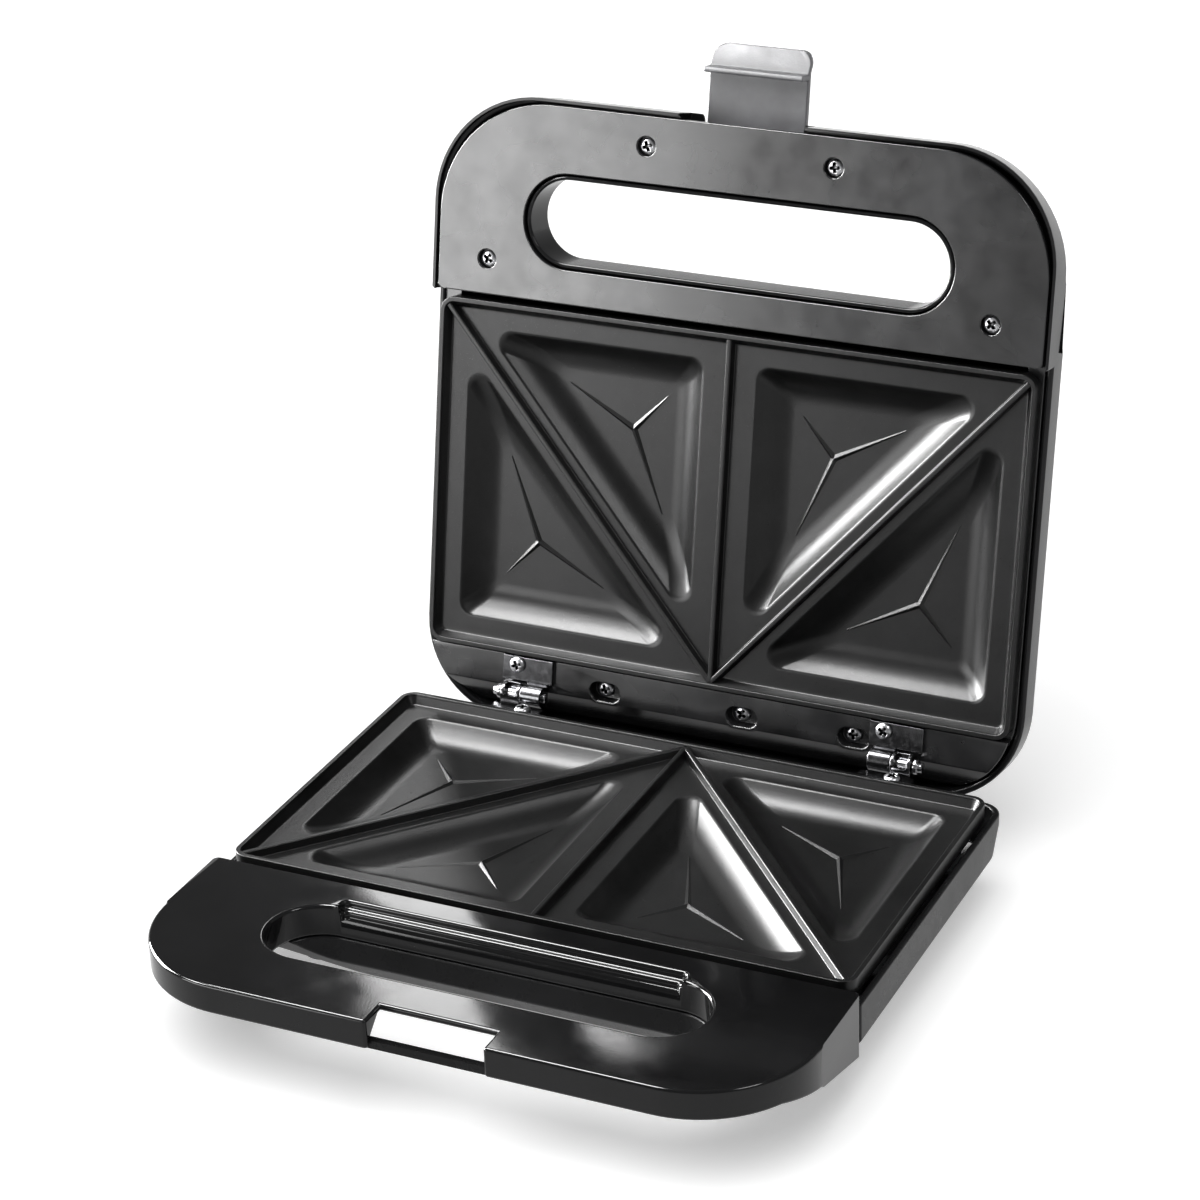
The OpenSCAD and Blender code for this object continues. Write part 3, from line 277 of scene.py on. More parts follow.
def fill_between(bm, outer, holes, w):
    """Flat face inside a ring and outside its holes."""
    inside_with_holes = 2
    tolerance = 1e-6
    points = [Vector(p) for p in outer]
    loops = [list(range(len(outer)))]
    for hole in holes:
        loops.append(list(range(len(points), len(points) + len(hole))))
        points += [Vector(p) for p in hole]
    made = delaunay_2d_cdt(points, [], loops, inside_with_holes, tolerance)
    verts = [bm.verts.new((p.x, p.y, w)) for p in made[0]]
    for face in made[2]:
        bm.faces.new([verts[i] for i in face])


def lathe(bm, profile, matrix, steps):
    """Body of revolution about z through a profile of (radius, height)."""
    rings = [[matrix @ p for p in at_height(circle(r, steps), z)] for r, z in profile]
    close_ends(bm, loft(bm, rings))


# ---- cooking plates ----

def outer_corners(t):
    """Corners of the pocket by the plate's side, drawn in by t."""
    u = PLATE_W / 2 - POCKET_EDGE_GAP - t
    v = POCKET_EDGE_GAP + t
    gap = POCKET_RIB_GAP + t
    return [Vector((u, v)),
            Vector((u, RIB_END + (u * sin(RIB_ANGLE) - gap) / cos(RIB_ANGLE))),
            Vector(((gap + (v - RIB_END) * cos(RIB_ANGLE)) / sin(RIB_ANGLE), v))]


def inner_corners(t):
    """Corners of the pocket by the plate's middle, drawn in by t."""
    u = POCKET_MID_GAP + t
    v = PLATE_D - POCKET_EDGE_GAP - t
    gap = POCKET_RIB_GAP + t
    return [Vector((u, v)),
            Vector((u, RIB_END + (u * sin(RIB_ANGLE) + gap) / cos(RIB_ANGLE))),
            Vector((((v - RIB_END) * cos(RIB_ANGLE) - gap) / sin(RIB_ANGLE), v))]


def pocket_ring(corners, t, r, steps=8, runs=6):
    """Rounded triangle, drawn in by t, anticlockwise: steps round a corner, runs along a side."""
    c = corners(t + r)
    if (c[1] - c[0]).cross(c[2] - c[0]) < 0:
        c = [c[0], c[2], c[1]]
    points = []
    for i in range(3):
        before = (c[i] - c[i - 1]).normalized()
        after = (c[(i + 1) % 3] - c[i]).normalized()
        start = atan2(-before.x, before.y)
        turn = before.angle(after)
        for k in range(steps + 1):
            angle = start + turn * k / steps
            points.append(c[i] + r * Vector((cos(angle), sin(angle))))
        last = points[-1]
        target = c[(i + 1) % 3] + r * Vector((after.y, -after.x))
        for k in range(1, runs):
            points.append(last.lerp(target, k / runs))
    return flat_points(points)


def mirrored(points):
    """The same ring on the other side of u = 0."""
    return [(-u, v) for u, v in reversed(points)]


def wall_height(t):
    """Height of a pocket's wall at a distance t inside its edge."""
    share = min(max(t / POCKET_RUN, 0), 1)
    return FLAT_W - POCKET_DEPTH * (1 - (1 - share) ** WALL_POWER)


def pocket_sections():
    """(inset, height) from the flat, over the rounded lip and down to the floor."""
    slope = POCKET_DEPTH * WALL_POWER / POCKET_RUN
    reach_out = 2 * POCKET_LIP
    lip = smooth_path([(-reach_out, FLAT_W, 0), (0, FLAT_W, POCKET_LIP * 1.5),
                       (reach_out, FLAT_W - reach_out * slope, 0)], 5)
    sections = [(p.x, p.y) for p in lip[1:-1]]
    start = sections[-1][0]
    for i in range(1, WALL_SECTIONS + 1):
        t = start + (POCKET_RUN - start) * i / WALL_SECTIONS
        sections.append((t, wall_height(t)))
    return sections


def pocket_rings(corners, flip):
    """A pocket's wall from its lip to its floor. Flipped, it is on the other side of u = 0."""
    rings = []
    for t, w in pocket_sections():
        ring = pocket_ring(corners, t, max(POCKET_R - CORNER_SHRINK * t, MIN_POCKET_R))
        rings.append(at_height(mirrored(ring) if flip else ring, w))
    return rings


def rim_rings():
    """The rim from its outer lower edge, over its top and on to the flat."""
    side_r, edge_r, top_r, foot_r = RIM_RADII
    foot = RIM_TOP + RIM_SLOPE
    profile = smooth_path([(RIM_DRAFT, FLAT_W - PLATE_T, 0), (0, FLAT_W, side_r), (0, 0, edge_r),
                           (RIM_TOP, 0, top_r), (foot, FLAT_W, foot_r), (foot + RIM_RUNOUT, FLAT_W, 0)], 4)
    rings = []
    for p in profile:
        outline = round_outline(PLATE_W - 2 * p.x, p.x, PLATE_D - p.x, max(PLATE_R - p.x, MIN_RIM_R))
        rings.append(at_height(outline, p.y))
    return rings


def plate_skin(name):
    """Upper surface of a plate in its own frame: rim, flat and four pockets."""
    bm = bmesh.new()
    rim = rim_rings()
    loft(bm, rim)
    holes = []
    for corners in (outer_corners, inner_corners):
        for flip in (False, True):
            pocket = pocket_rings(corners, flip)
            loft(bm, pocket)
            holes.append(flat_points(pocket[0]))
            fill_between(bm, flat_points(pocket[-1]), [], pocket[-1][0].z)
    fill_between(bm, flat_points(rim[-1]), holes, FLAT_W)
    bmesh.ops.remove_doubles(bm, verts=bm.verts, dist=SKIN_MERGE)
    bmesh.ops.recalc_face_normals(bm, faces=bm.faces)
    skin = bpy.data.meshes.new(name + "_skin")
    bm.to_mesh(skin)
    bm.free()
    return skin


def casting(name):
    """A plate's skin, thickened downwards, in its own frame."""
    skin = plate_skin(name)
    holder = bpy.data.objects.new(skin.name, skin)
    bpy.context.scene.collection.objects.link(holder)
    thick = holder.modifiers.new("casting", "SOLIDIFY")
    faces_up = sum(f.normal.z * f.area for f in skin.polygons) > 0
    thick.thickness = CASTING_T
    thick.offset = -1 if faces_up else 1
    thick.use_even_offset = True
    solid = holder.evaluated_get(bpy.context.evaluated_depsgraph_get())
    bm = bmesh.new()
    bm.from_mesh(solid.data)
    bpy.data.objects.remove(holder)
    return bm


def fin_mesh(bm, hub, tip, matrix):
    """Low ridge that narrows from a hub to its tip."""
    along = (tip - hub).normalized()
    across = Vector((-along.y, along.x))
    length = (tip - hub).length
    floor_w = FLAT_W - POCKET_DEPTH
    rings = []
    for i in range(FIN_STEPS + 1):
        share = i / FIN_STEPS
        middle = hub + along * length * share
        half = FIN_T * (FIN_SPREAD - FIN_TAPER * share)
        height = FIN_SLOPE * half
        ring = []
        for side, up in FIN_SECTION:
            p = middle + across * side * half
            ring.append(matrix @ Vector((p.x, p.y, floor_w + height * up)))
        rings.append(ring)
    close_ends(bm, loft(bm, rings))


def rib_mesh(bm, start, end, matrix):
    """Sealing rib with a rounded top and a small foot on each side."""
    along = (end - start).normalized()
    across = Vector((-along.y, along.x))
    half = RIB_W / 2
    side = [(half + 2 * RIB_FOOT, FLAT_W - RIB_SINK, 0), (half + RIB_FOOT, FLAT_W, RIB_FOOT_R),
            (half, FLAT_W, RIB_FOOT_R), (half - RIB_BATTER, -RIB_DROP, RIB_TOP_R)]
    section = smooth_path([(-a, b, r) for a, b, r in side] + side[::-1], 3)
    rings = []
    for end_point in (start, end):
        places = [end_point + across * p.x for p in section]
        rings.append([matrix @ Vector((q.x, q.y, p.y)) for q, p in zip(places, section)])
    close_ends(bm, loft(bm, rings))


def pocket_fins(bm, corners, turn_u, turn_v, side, matrix):
    """Three fins from a pocket's hub towards its corners."""
    points = corners(0)
    hub = Vector((points[0].x + turn_u * FIN_HUB[0], points[0].y + turn_v * FIN_HUB[1]))
    for p in points:
        tip = hub + (p - hub) * FIN_REACH
        fin_mesh(bm, Vector((side * hub.x, hub.y)), Vector((side * tip.x, tip.y)), matrix)


def plate_piece(name, matrix, body, node, material):
    """A cooking plate: its casting with the sealing ribs and the fins."""
    bm = casting(name)
    bmesh.ops.transform(bm, matrix=matrix, verts=bm.verts)
    rib_mesh(bm, Vector((0, RIB_END - 1)), Vector((0, PLATE_D - RIB_END)), matrix)
    corner_in = RIB_END + RIB_CORNER_IN
    for side in (-1, 1):
        far = Vector((side * (PLATE_W / 2 - corner_in), PLATE_D - corner_in))
        rib_mesh(bm, Vector((0, RIB_END)), far, matrix)
        pocket_fins(bm, outer_corners, -1, 1, side, matrix)
        pocket_fins(bm, inner_corners, 1, -1, side, matrix)
    return add_piece(name, bm, body, node, material, 40)


# ---- pieces made from a CAD node, with rounded edges ----

def reach(edge, face):
    """How far a face reaches away from one of its edges."""
    start, end = (v.co for v in edge.verts)
    along = (end - start).normalized()
    return max((v.co - start).cross(along).length for v in face.verts)


def has_room(edge, width, turn):
    """Whether a rounding of this width fits on both sides of an edge."""
    face_room = 1.4 * width
    end_room = 1.2 * width
    if min(reach(edge, face) for face in edge.link_faces) < face_room:
        return False
    for vert in edge.verts:
        for other in vert.link_edges:
            flat = len(other.link_faces) == 2 and other.calc_face_angle() < turn
            if other is not edge and flat and other.calc_length() < end_room:
                return False
    return True


def round_edges(bm, width, turn, segments):
    """Rounds the edges that turn by more than an angle and have room for it."""
    edges = []
    for edge in bm.edges:
        if len(edge.link_faces) == 2 and edge.calc_face_angle() > turn and has_room(edge, width, turn):
            edges.append(edge)
    bmesh.ops.bevel(bm, geom=edges, offset=width, offset_type="OFFSET", segments=segments, profile=0.5,
                    affect="EDGES", clamp_overlap=False, loop_slide=False)


def soften(node, body, material, width, segments=3):
    """A copy of a CAD node whose edges are rounded where there is room."""
    bm = bmesh.new()
    bm.from_mesh(nodes[node].data)
    bmesh.ops.remove_doubles(bm, verts=bm.verts, dist=CAD_MERGE * MM)
    bmesh.ops.dissolve_limit(bm, angle_limit=FLAT_TURN, verts=bm.verts, edges=bm.edges)
    wide = [face for face in bm.faces if len(face.verts) > 4]
    bmesh.ops.triangulate(bm, faces=wide, quad_method="BEAUTY", ngon_method="BEAUTY")
    round_edges(bm, width * MM, SHARP_TURN, segments)
    return add_piece(node + "_soft", bm, body, node, material)


# ---- screws and lenses ----

def cross_depth(x, y):
    """How deep a screw's cross recess is at (x, y)."""
    near = 0.0
    for a, b in ((x, y), (y, x)):
        along = 1 - abs(a) / CROSS_ARM
        side = 1 - abs(b) / CROSS_HALF
        near = max(near, min(1, CROSS_STEEP * min(along, side)))
    return CROSS_DEPTH * near


def screw_mesh(bm, matrix, length):
    """Pan-head screw with a cross recess. The head's underside is at the origin."""
    rings = [at_height(circle(SCREW_R, HEAD_STEPS), -length), at_height(circle(SCREW_R, HEAD_STEPS), 0),
             at_height(circle(HEAD_R, HEAD_STEPS), 0)]
    for i in range(HEAD_CELLS + 1):
        share = 1 - i / HEAD_CELLS
        dome = HEAD_H * (1 - HEAD_DOME * share ** 5)
        outline = circle(HEAD_R * share, HEAD_STEPS)
        rings.append([Vector((x, y, dome - cross_depth(x, y))) for x, y in outline])
    made = loft(bm, [[matrix @ p for p in ring] for ring in rings])
    bm.faces.new(made[0])


def screws_piece(name, places, length, body, node):
    """Screws of one length, as one piece."""
    bm = bmesh.new()
    for matrix in places:
        screw_mesh(bm, matrix, length)
    return add_piece(name, bm, body, node, screw_steel, 50)


def turned(matrix, places, w):
    """Placings of screws at a height w, each turned by its own amount, as a driver leaves it."""
    first_turn, next_turn = 23, 37
    placings = []
    for i, (u, v) in enumerate(places):
        turn = Matrix.Rotation(radians(first_turn + next_turn * i), 4, "Z")
        placings.append(matrix @ Matrix.Translation((u, v, w)) @ turn)
    return placings


def lens_piece(name, u, node, material):
    """Domed indicator lens with a collar behind the casing."""
    collar_r = LENS_R + LENS_COLLAR
    profile = smooth_path([(LENS_AXIS_R, WALL + LENS_COLLAR, 0), (collar_r, WALL + LENS_COLLAR, 0.2),
                           (collar_r, WALL, 0.2), (LENS_R, WALL, 0.1), (LENS_R, -0.2, 0.3),
                           (LENS_R * 0.6, -LENS_DOME, 1.5), (LENS_AXIS_R, -LENS_DOME, 0)], 5)
    bm = bmesh.new()
    placing = UPPER @ Matrix.Translation((u, PLATE_D - LENS_SETBACK, -LID_H))
    lathe(bm, profile, placing, LENS_STEPS)
    return add_piece(name, bm, "lid", node, material, 50)


# ---- materials ----

class Finish:
    """A Principled material with helpers for its procedural detail."""

    def __init__(self, name, **sockets):
        self.material = bpy.data.materials.new(name)
        self.material.use_nodes = True
        self.tree = self.material.node_tree
        self.shader = self.tree.nodes["Principled BSDF"]
        for key, value in sockets.items():
            self.shader.inputs[key.replace("_", " ")].default_value = value
        self.coords = self.tree.nodes.new("ShaderNodeTexCoord").outputs["Object"]

    def link(self, a, b):
        self.tree.links.new(a, b)

    def noise(self, scale, detail=3.0, roughness=0.5, stretch=None):
        """Noise in the object's own space, stretched along its axes or not."""
        node = self.tree.nodes.new("ShaderNodeTexNoise")
        node.inputs["Scale"].default_value = scale
        node.inputs["Detail"].default_value = detail
        node.inputs["Roughness"].default_value = roughness
        source = self.coords
        if stretch:
            mapping = self.tree.nodes.new("ShaderNodeMapping")
            mapping.inputs["Scale"].default_value = stretch
            self.link(source, mapping.inputs["Vector"])
            source = mapping.outputs["Vector"]
        self.link(source, node.inputs["Vector"])
        return node.outputs["Fac"]

    def ramp(self, source, stops):
        """Colours between two stops of (place, colour)."""
        node = self.tree.nodes.new("ShaderNodeValToRGB")
        elements = node.color_ramp.elements
        for element, (place, colour) in zip(elements, stops):
            element.position = place
            element.color = colour
        self.link(source, node.inputs["Fac"])
        return node.outputs["Color"]

    def spread(self, source, low, high):
        """The middle of a noise's range, spread from low to high."""
        node = self.tree.nodes.new("ShaderNodeMapRange")
        node.inputs["From Min"].default_value = 0.3
        node.inputs["From Max"].default_value = 0.7
        node.inputs["To Min"].default_value = low
        node.inputs["To Max"].default_value = high
        self.link(source, node.inputs["Value"])
        return node.outputs["Result"]

    def colour(self, source, dark, light):
        """Base colour from dark to light."""
        self.link(self.ramp(source, [(0.3, dark), (0.7, light)]), self.shader.inputs["Base Color"])

    def paint_recess_shade(self, width):
        """Painted shade: darkens the colour in recesses about as wide as this, in millimetres, where shade
        falls.
        """
        shut_in = self.tree.nodes.new("ShaderNodeAmbientOcclusion")
        shut_in.only_local = True
        shut_in.inputs["Distance"].default_value = width * MM
        mix = self.tree.nodes.new("ShaderNodeMix")
        mix.data_type = "RGBA"
        mix.blend_type = "MULTIPLY"
        mix.inputs["Factor"].default_value = 1
        base = self.shader.inputs["Base Color"]
        self.link(base.links[0].from_socket, mix.inputs["A"])
        self.link(self.ramp(shut_in.outputs["AO"], [(0.62, grey(0.02)), (0.93, grey(1))]), mix.inputs["B"])
        self.link(mix.outputs["Result"], base)

    def rough(self, source, low, high):
        """Roughness from low to high."""
        self.link(self.spread(source, low, high), self.shader.inputs["Roughness"])

    def bump(self, *layers):
        """layers: (height source, depth in metres)."""
        before = None
        for source, depth in layers:
            node = self.tree.nodes.new("ShaderNodeBump")
            node.inputs["Distance"].default_value = depth
            node.inputs["Strength"].default_value = 1.0
            self.link(source, node.inputs["Height"])
            if before:
                self.link(before, node.inputs["Normal"])
            before = node.outputs["Normal"]
        self.link(before, self.shader.inputs["Normal"])


def grey(value, tint=0.0):
    """Grey with its blue raised by a tint."""
    return (value, value, value * (1 + tint), 1)


def moulded(name, dark, light, rough, specular, grain=6e-6):
    """Injection-moulded plastic: faint flow marks, uneven gloss and a fine grain."""
    f = Finish(name, Specular_IOR_Level=specular)
    f.colour(f.noise(38, detail=4), grey(dark, 0.04), grey(light, 0.06))
    f.rough(f.noise(90, detail=5, roughness=0.6), *rough)
    f.bump((f.noise(1400, detail=2), grain), (f.noise(26, detail=2), 6e-5))
    return f.material


def coated(name):
    """Non-stick coating over cast metal: satin black with a fine pebbled grain."""
    f = Finish(name, Specular_IOR_Level=0.21)
    f.colour(f.noise(60, detail=5, roughness=0.6), grey(0.003), grey(0.008, 0.02))
    f.rough(f.noise(1600, detail=3, roughness=0.7), 0.27, 0.35)
    f.bump((f.noise(2300, detail=3, roughness=0.7), 2.6e-5), (f.noise(300, detail=2), 1.5e-5))
    return f.material


def metal(name, light, dark, rough, brushed=False, recess_shade_width=0):
    """Metal with a fine grain, brushed or not, and with or without painted shade in its recesses."""
    f = Finish(name, Metallic=1.0)
    stretch = (1, 30, 30) if brushed else None
    grain = f.noise(220, detail=5, roughness=0.7, stretch=stretch)
    f.colour(grain, dark, light)
    # painted shade: the colour darkens in recesses, where shade falls
    if recess_shade_width:
        f.paint_recess_shade(recess_shade_width)
    f.rough(f.noise(500, detail=4, roughness=0.7, stretch=stretch), *rough)
    f.bump((f.noise(900, detail=3, roughness=0.7, stretch=stretch), 1.2e-5))
    return f.material


def rubbery(name, dark, light):
    """Matt rubber with a coarse skin."""
    f = Finish(name, Specular_IOR_Level=0.3)
    f.colour(f.noise(150, detail=5, roughness=0.7), grey(dark), grey(light))
    f.rough(f.noise(400, detail=4, roughness=0.7), 0.62, 0.85)
    f.bump((f.noise(1700, detail=3, roughness=0.7), 6e-5))
    return f.material


def mineral(name, dark, light):
    """Pale ceramic, filled plastic or glass sleeve."""
    f = Finish(name, Specular_IOR_Level=0.4)
    f.colour(f.noise(300, detail=6, roughness=0.7), dark, light)
    f.rough(f.noise(700, detail=4, roughness=0.6), 0.45, 0.7)
    f.bump((f.noise(2000, detail=4, roughness=0.7), 3e-5))
    return f.material


def tinted_glass(name, dark, light):
    """Coloured acrylic that lets some light through."""
    f = Finish(name, Transmission_Weight=0.4, IOR=1.49)
    f.colour(f.noise(500, detail=3), dark, light)
    f.rough(f.noise(900, detail=3), 0.06, 0.16)
    f.bump((f.noise(1500, detail=2), 8e-6))
    return f.material


def circuit_board(name):
    """Green board with paler tracks."""
    f = Finish(name, Specular_IOR_Level=0.5)
    wave = f.tree.nodes.new("ShaderNodeTexWave")
    wave.wave_type = "BANDS"
    wave.inputs["Scale"].default_value = 190
    wave.inputs["Distortion"].default_value = 6
    f.link(f.coords, wave.inputs["Vector"])
    f.colour(wave.outputs["Fac"], (0.008, 0.07, 0.02, 1), (0.03, 0.16, 0.05, 1))
    f.rough(f.noise(600, detail=3), 0.3, 0.5)
    f.bump((wave.outputs["Fac"], 5e-5))
    return f.material


casing = moulded("casing", 0.007, 0.011, rough=(0.24, 0.32), specular=0.1)
gloss_black = moulded("gloss_black", 0.006, 0.009, rough=(0.06, 0.12), specular=0.2)
lid_casing = moulded("lid_casing", 0.008, 0.012, rough=(0.12, 0.2), specular=0.15)
gloss_black_lid = moulded("gloss_black_lid", 0.004, 0.02, rough=(0.16, 0.26), specular=0.45)
latch_smoke = moulded("latch_smoke", 0.09, 0.19, rough=(0.36, 0.5), specular=0.3, grain=3.5e-5)
cast_plate = coated("cast_plate")
element_steel = metal("element_steel", (0.42, 0.39, 0.35, 1), (0.26, 0.24, 0.22, 1), rough=(0.4, 0.6))
reflector = metal("reflector", (0.75, 0.77, 0.79, 1), (0.6, 0.62, 0.65, 1), rough=(0.25, 0.4),
                  brushed=True)
# the screws get painted shade in their cross recesses
screw_steel = metal("screw_steel", (0.42, 0.42, 0.43, 1), (0.26, 0.26, 0.27, 1), rough=(0.24, 0.36),
                    recess_shade_width=1.5)
hinge_metal = metal("hinge_metal", (0.1, 0.1, 0.103, 1), (0.05, 0.05, 0.052, 1), rough=(0.14, 0.26))
pin_metal = metal("pin_metal", (0.4, 0.4, 0.41, 1), (0.26, 0.26, 0.27, 1), rough=(0.1, 0.2))
rubber = rubbery("rubber", 0.012, 0.022)
gland_rubber = rubbery("gland_rubber", 0.01, 0.018)
ceramic_body = mineral("ceramic_body", (0.62, 0.57, 0.46, 1), (0.75, 0.7, 0.6, 1))
terminal_plastic = mineral("terminal_plastic", (0.68, 0.64, 0.55, 1), (0.8, 0.77, 0.69, 1))
lead_sleeve = mineral("lead_sleeve", (0.5, 0.38, 0.18, 1), (0.64, 0.52, 0.3, 1))
board_green = circuit_board("circuit_board")
lamp_glass = tinted_glass("lamp_glass", (0.8, 0.36, 0.16, 1), (0.9, 0.5, 0.28, 1))
red_lens = tinted_glass("red_lens", (0.55, 0.02, 0.012, 1), (0.7, 0.05, 0.03, 1))
green_lens = tinted_glass("green_lens", (0.02, 0.32, 0.06, 1), (0.05, 0.45, 0.1, 1))

# CAD nodes that stay as they are and only get a material
CARRIED = {
    "lower_heating_element": element_steel, "upper_heating_element": element_steel,
    "lower_heat_shield": reflector, "upper_heat_shield": reflector,
    "lower_plate_screws": screw_steel, "upper_plate_screws": screw_steel,
    "thermal_fuse": ceramic_body, "thermostat": ceramic_body, "terminal_block": terminal_plastic,
    "base_leads": lead_sleeve, "lid_leads": lead_sleeve, "lamp_board": board_green,
    "indicator_lamps": lamp_glass, "latch_pin": pin_metal,
}
for name, material in CARRIED.items():
    nodes[name].data.materials.clear()
    nodes[name].data.materials.append(material)

# ---- pieces ----

plate_piece("lower_casting", LOWER, "base", "lower_plate", cast_plate)
plate_piece("upper_casting", UPPER, "lid", "upper_plate", cast_plate)

soften("base_shell", "base", casing, 0.8)
soften("base_handle_cover", "base", gloss_black, 1.2, segments=4)
soften("lid_shell", "lid", lid_casing, 0.8)
soften("lid_inner_frame", "lid", gloss_black_lid, 0.4)
soften("latch", "latch", latch_smoke, 0.5)
soften("rubber_feet", "base", rubber, 0.9)
soften("cord_gland", "base", gland_rubber, 0.5)
for side in ("left", "right"):
    soften(f"hinge_bracket_{side}", "base", hinge_metal, 0.25)
    soften(f"hinge_leaf_{side}", "lid", hinge_metal, 0.25)
    soften(f"hinge_pin_{side}", "base", pin_metal, 0.3)

screws_piece("lid_face_screws", turned(UPPER, FACE_SCREWS, -HEAD_SEAT), LID_SCREW_L,
             "lid", "lid_handle_screws")
screws_piece("liner_screws", turned(UPPER, LINER_SCREWS, LINER_W - RECESS_D), REAR_SCREW_L,
             "lid", "lid_rear_screws")
screws_piece("leaf_screws", turned(UPPER, LEAF_SCREWS, LEAF_W + LEAF_T), HINGE_SCREW_L,
             "lid", "hinge_leaf_screws")
screws_piece("bracket_screws", turned(BASE, BRACKET_SCREWS, BRACKET_Z + LEAF_T), HINGE_SCREW_L,
             "base", "hinge_bracket_screws")
screws_piece("grip_screws", [place @ FACE_DOWN for place in turned(BASE, GRIP_SCREWS, GRIP_SEAT - GRIP_H)],
             GRIP_SCREW_L, "base", "base_handle_screws")

lens_piece("power_lens_dome", -LENS_U, "power_lens", red_lens)
lens_piece("ready_lens_dome", LENS_U, "ready_lens", green_lens)

# ---- camera, fitted to the outlines of both plates in the photograph ----

CAMERA_AT = (0.46505, -0.96831, 0.63944)    # metres
CAMERA_AZIMUTH = radians(25.798)
CAMERA_RISE = radians(25.716)
CAMERA_ROLL = radians(-2.119)
FOCAL_LENGTH = 107.7
SENSOR_WIDTH = 36
NEAREST = 0.01
FARTHEST = 50


def add_camera():
    """The view of the photograph."""
    level = cos(CAMERA_RISE)
    back = Vector((sin(CAMERA_AZIMUTH) * level, -cos(CAMERA_AZIMUTH) * level, sin(CAMERA_RISE)))
    right = Vector((0, 0, 1)).cross(back).normalized()
    above = back.cross(right)
    rolled_right = right * cos(CAMERA_ROLL) + above * sin(CAMERA_ROLL)
    rolled_above = above * cos(CAMERA_ROLL) - right * sin(CAMERA_ROLL)
    turn = Matrix((rolled_right, rolled_above, back)).transposed().to_4x4()
    lens = bpy.data.cameras.new("camera")
    lens.lens = FOCAL_LENGTH
    lens.sensor_width = SENSOR_WIDTH
    lens.clip_start = NEAREST
    lens.clip_end = FARTHEST
    camera = bpy.data.objects.new("camera", lens)
    camera.matrix_world = Matrix.Translation(CAMERA_AT) @ turn
    bpy.context.scene.collection.objects.link(camera)
    bpy.context.scene.camera = camera


# ---- floor and lights ----

FLOOR_RADIUS = 9       # metres
FLOOR_WHITE = 0.86
FLOOR_GLOW = 0.4       # light of its own that the eye, metal and glass see
MIDDLE = (0, 0.1, 0.15)    # the point that most lamps face, in metres

# Brightness of the surroundings by height, from the horizon at 0 to straight up at 1
SKY = ((0.0, 0.9), (0.04, 0.7), (0.25, 0.26), (0.7, 0.26), (1.0, 0.35))


def floor_material():
    """White floor: the eye, metal and glass see it a little lighter, and it keeps the shadow."""
    material = bpy.data.materials.new("studio_floor")
    material.use_nodes = True
    tree = material.node_tree
    shader = tree.nodes["Principled BSDF"]
    shader.inputs["Base Color"].default_value = grey(FLOOR_WHITE)
    shader.inputs["Roughness"].default_value = 0.9
    shader.inputs["Specular IOR Level"].default_value = 0.0
    shader.inputs["Emission Color"].default_value = grey(1)
    paths = tree.nodes.new("ShaderNodeLightPath")
    seen = paths.outputs["Is Camera Ray"]
    for other in ("Is Glossy Ray", "Is Transmission Ray"):
        join = tree.nodes.new("ShaderNodeMath")
        join.operation = "MAXIMUM"
        tree.links.new(seen, join.inputs[0])
        tree.links.new(paths.outputs[other], join.inputs[1])
        seen = join.outputs[0]
    scale = tree.nodes.new("ShaderNodeMath")
    scale.operation = "MULTIPLY"
    scale.inputs[1].default_value = FLOOR_GLOW
    tree.links.new(seen, scale.inputs[0])
    tree.links.new(scale.outputs[0], shader.inputs["Emission Strength"])
    return material


def add_floor():
    """Round floor under the feet, which is stage and not part of the object."""
    bm = bmesh.new()
    bmesh.ops.create_circle(bm, cap_ends=True, segments=96, radius=FLOOR_RADIUS)
    mesh = bpy.data.meshes.new("floor")
    bm.to_mesh(mesh)
    bm.free()
    mesh.materials.append(floor_material())
    floor = bpy.data.objects.new("floor", mesh)
    bpy.context.scene.collection.objects.link(floor)


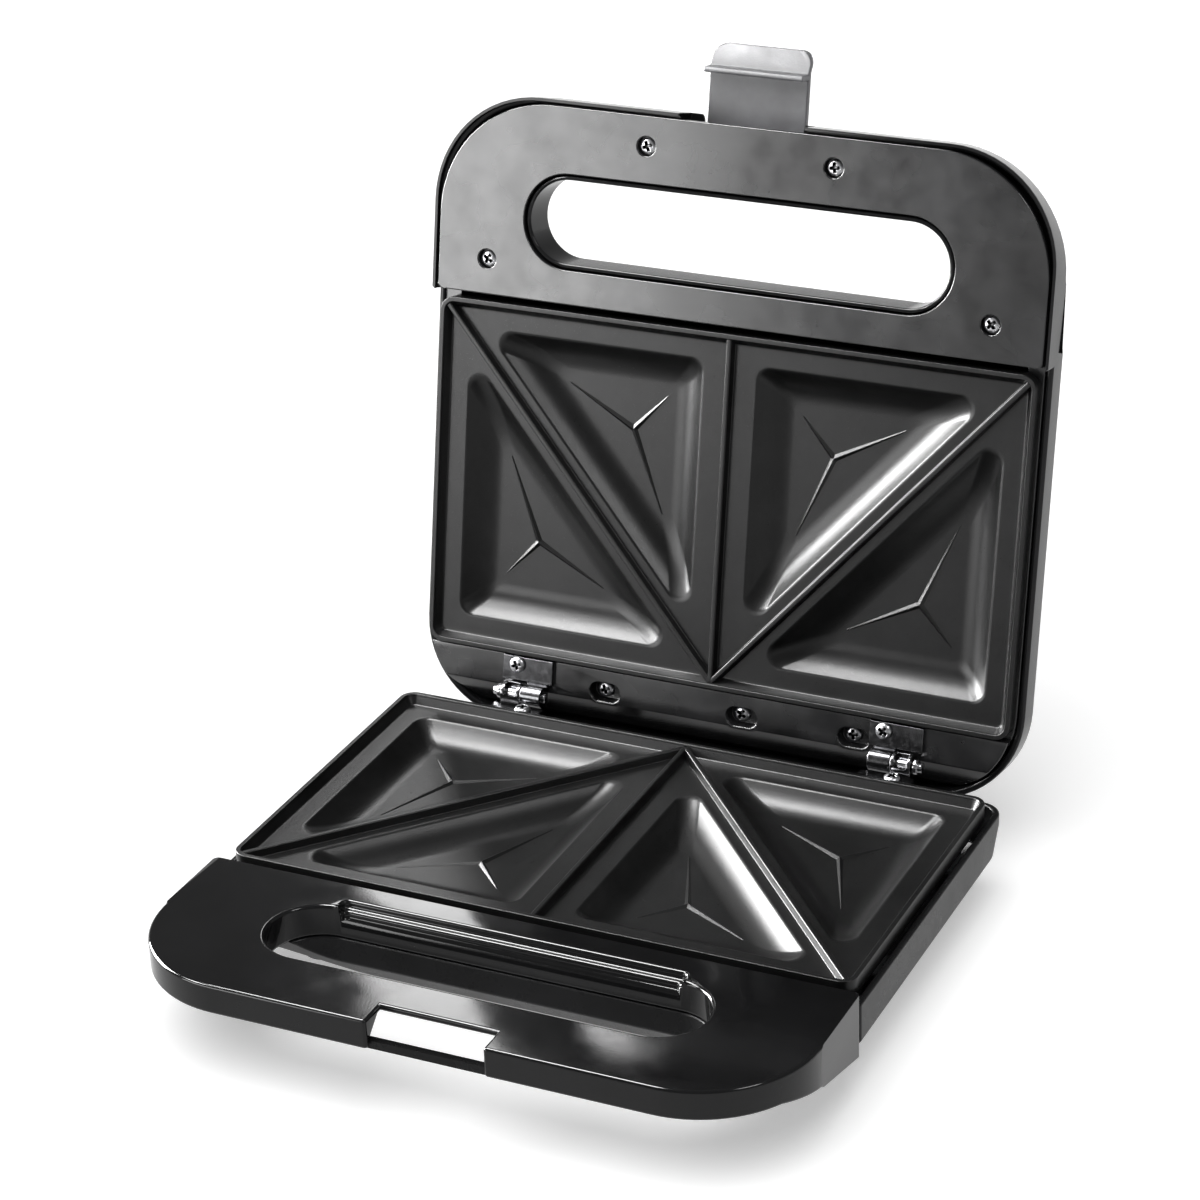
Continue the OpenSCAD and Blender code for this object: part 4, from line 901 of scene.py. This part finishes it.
def softbox(name, place, aim, width, height, power):
    """Area light at a place, turned to a point. It shows in shiny surfaces only."""
    data = bpy.data.lights.new(name, "AREA")
    data.shape = "RECTANGLE"
    data.size = width
    data.size_y = height
    data.energy = power
    lamp = bpy.data.objects.new(name, data)
    lamp.location = place
    lamp.rotation_euler = (Vector(aim) - Vector(place)).to_track_quat("-Z", "Y").to_euler()
    lamp.visible_diffuse = False
    bpy.context.scene.collection.objects.link(lamp)


def add_daylight():
    """Wide light from above, a little from the front. Shiny surfaces don't mirror it."""
    sun = bpy.data.lights.new("daylight", "SUN")
    sun.energy = 2.4
    sun.angle = radians(60)
    daylight = bpy.data.objects.new("daylight", sun)
    daylight.rotation_euler = Vector((0.08, 0.4, -1)).to_track_quat("-Z", "Y").to_euler()
    daylight.visible_glossy = False
    bpy.context.scene.collection.objects.link(daylight)


def add_sky():
    """Pale surroundings that darken with height."""
    world = bpy.data.worlds.new("studio")
    world.use_nodes = True
    tree = world.node_tree
    coords = tree.nodes.new("ShaderNodeTexCoord")
    split = tree.nodes.new("ShaderNodeSeparateXYZ")
    tree.links.new(coords.outputs["Generated"], split.inputs["Vector"])
    band = tree.nodes.new("ShaderNodeValToRGB")
    stops = band.color_ramp.elements
    while len(stops) < len(SKY):
        stops.new(0.5)
    for stop, (rise, level) in zip(stops, SKY):
        stop.position = rise
        stop.color = grey(level)
    tree.links.new(split.outputs["Z"], band.inputs["Fac"])
    tree.links.new(band.outputs["Color"], tree.nodes["Background"].inputs["Color"])
    tree.nodes["Background"].inputs["Strength"].default_value = 1.0
    bpy.context.scene.world = world


add_camera()
add_floor()
add_daylight()
softbox("top_strip", (-0.5, -0.02, 1.25), MIDDLE, width=0.5, height=0.4, power=44)
softbox("upper_left_strip", (-0.81, -0.38, 0.99), MIDDLE, width=0.3, height=0.3, power=24)
softbox("left_screen", (-1.1, 0, 0.42), MIDDLE, width=0.7, height=0.7, power=150)
softbox("front_screen", (-0.9, -1.09, 0.3), MIDDLE, width=0.72, height=0.6, power=17)
softbox("rear_screen", (-0.46, 0.78, 0.66), (0.03, -0.12, 0.04), width=0.17, height=0.22, power=1.6)
softbox("right_screen", (0.75, -0.3, 0.95), MIDDLE, width=0.3, height=0.3, power=6)
add_sky()
bpy.context.scene.view_settings.view_transform = "Standard"
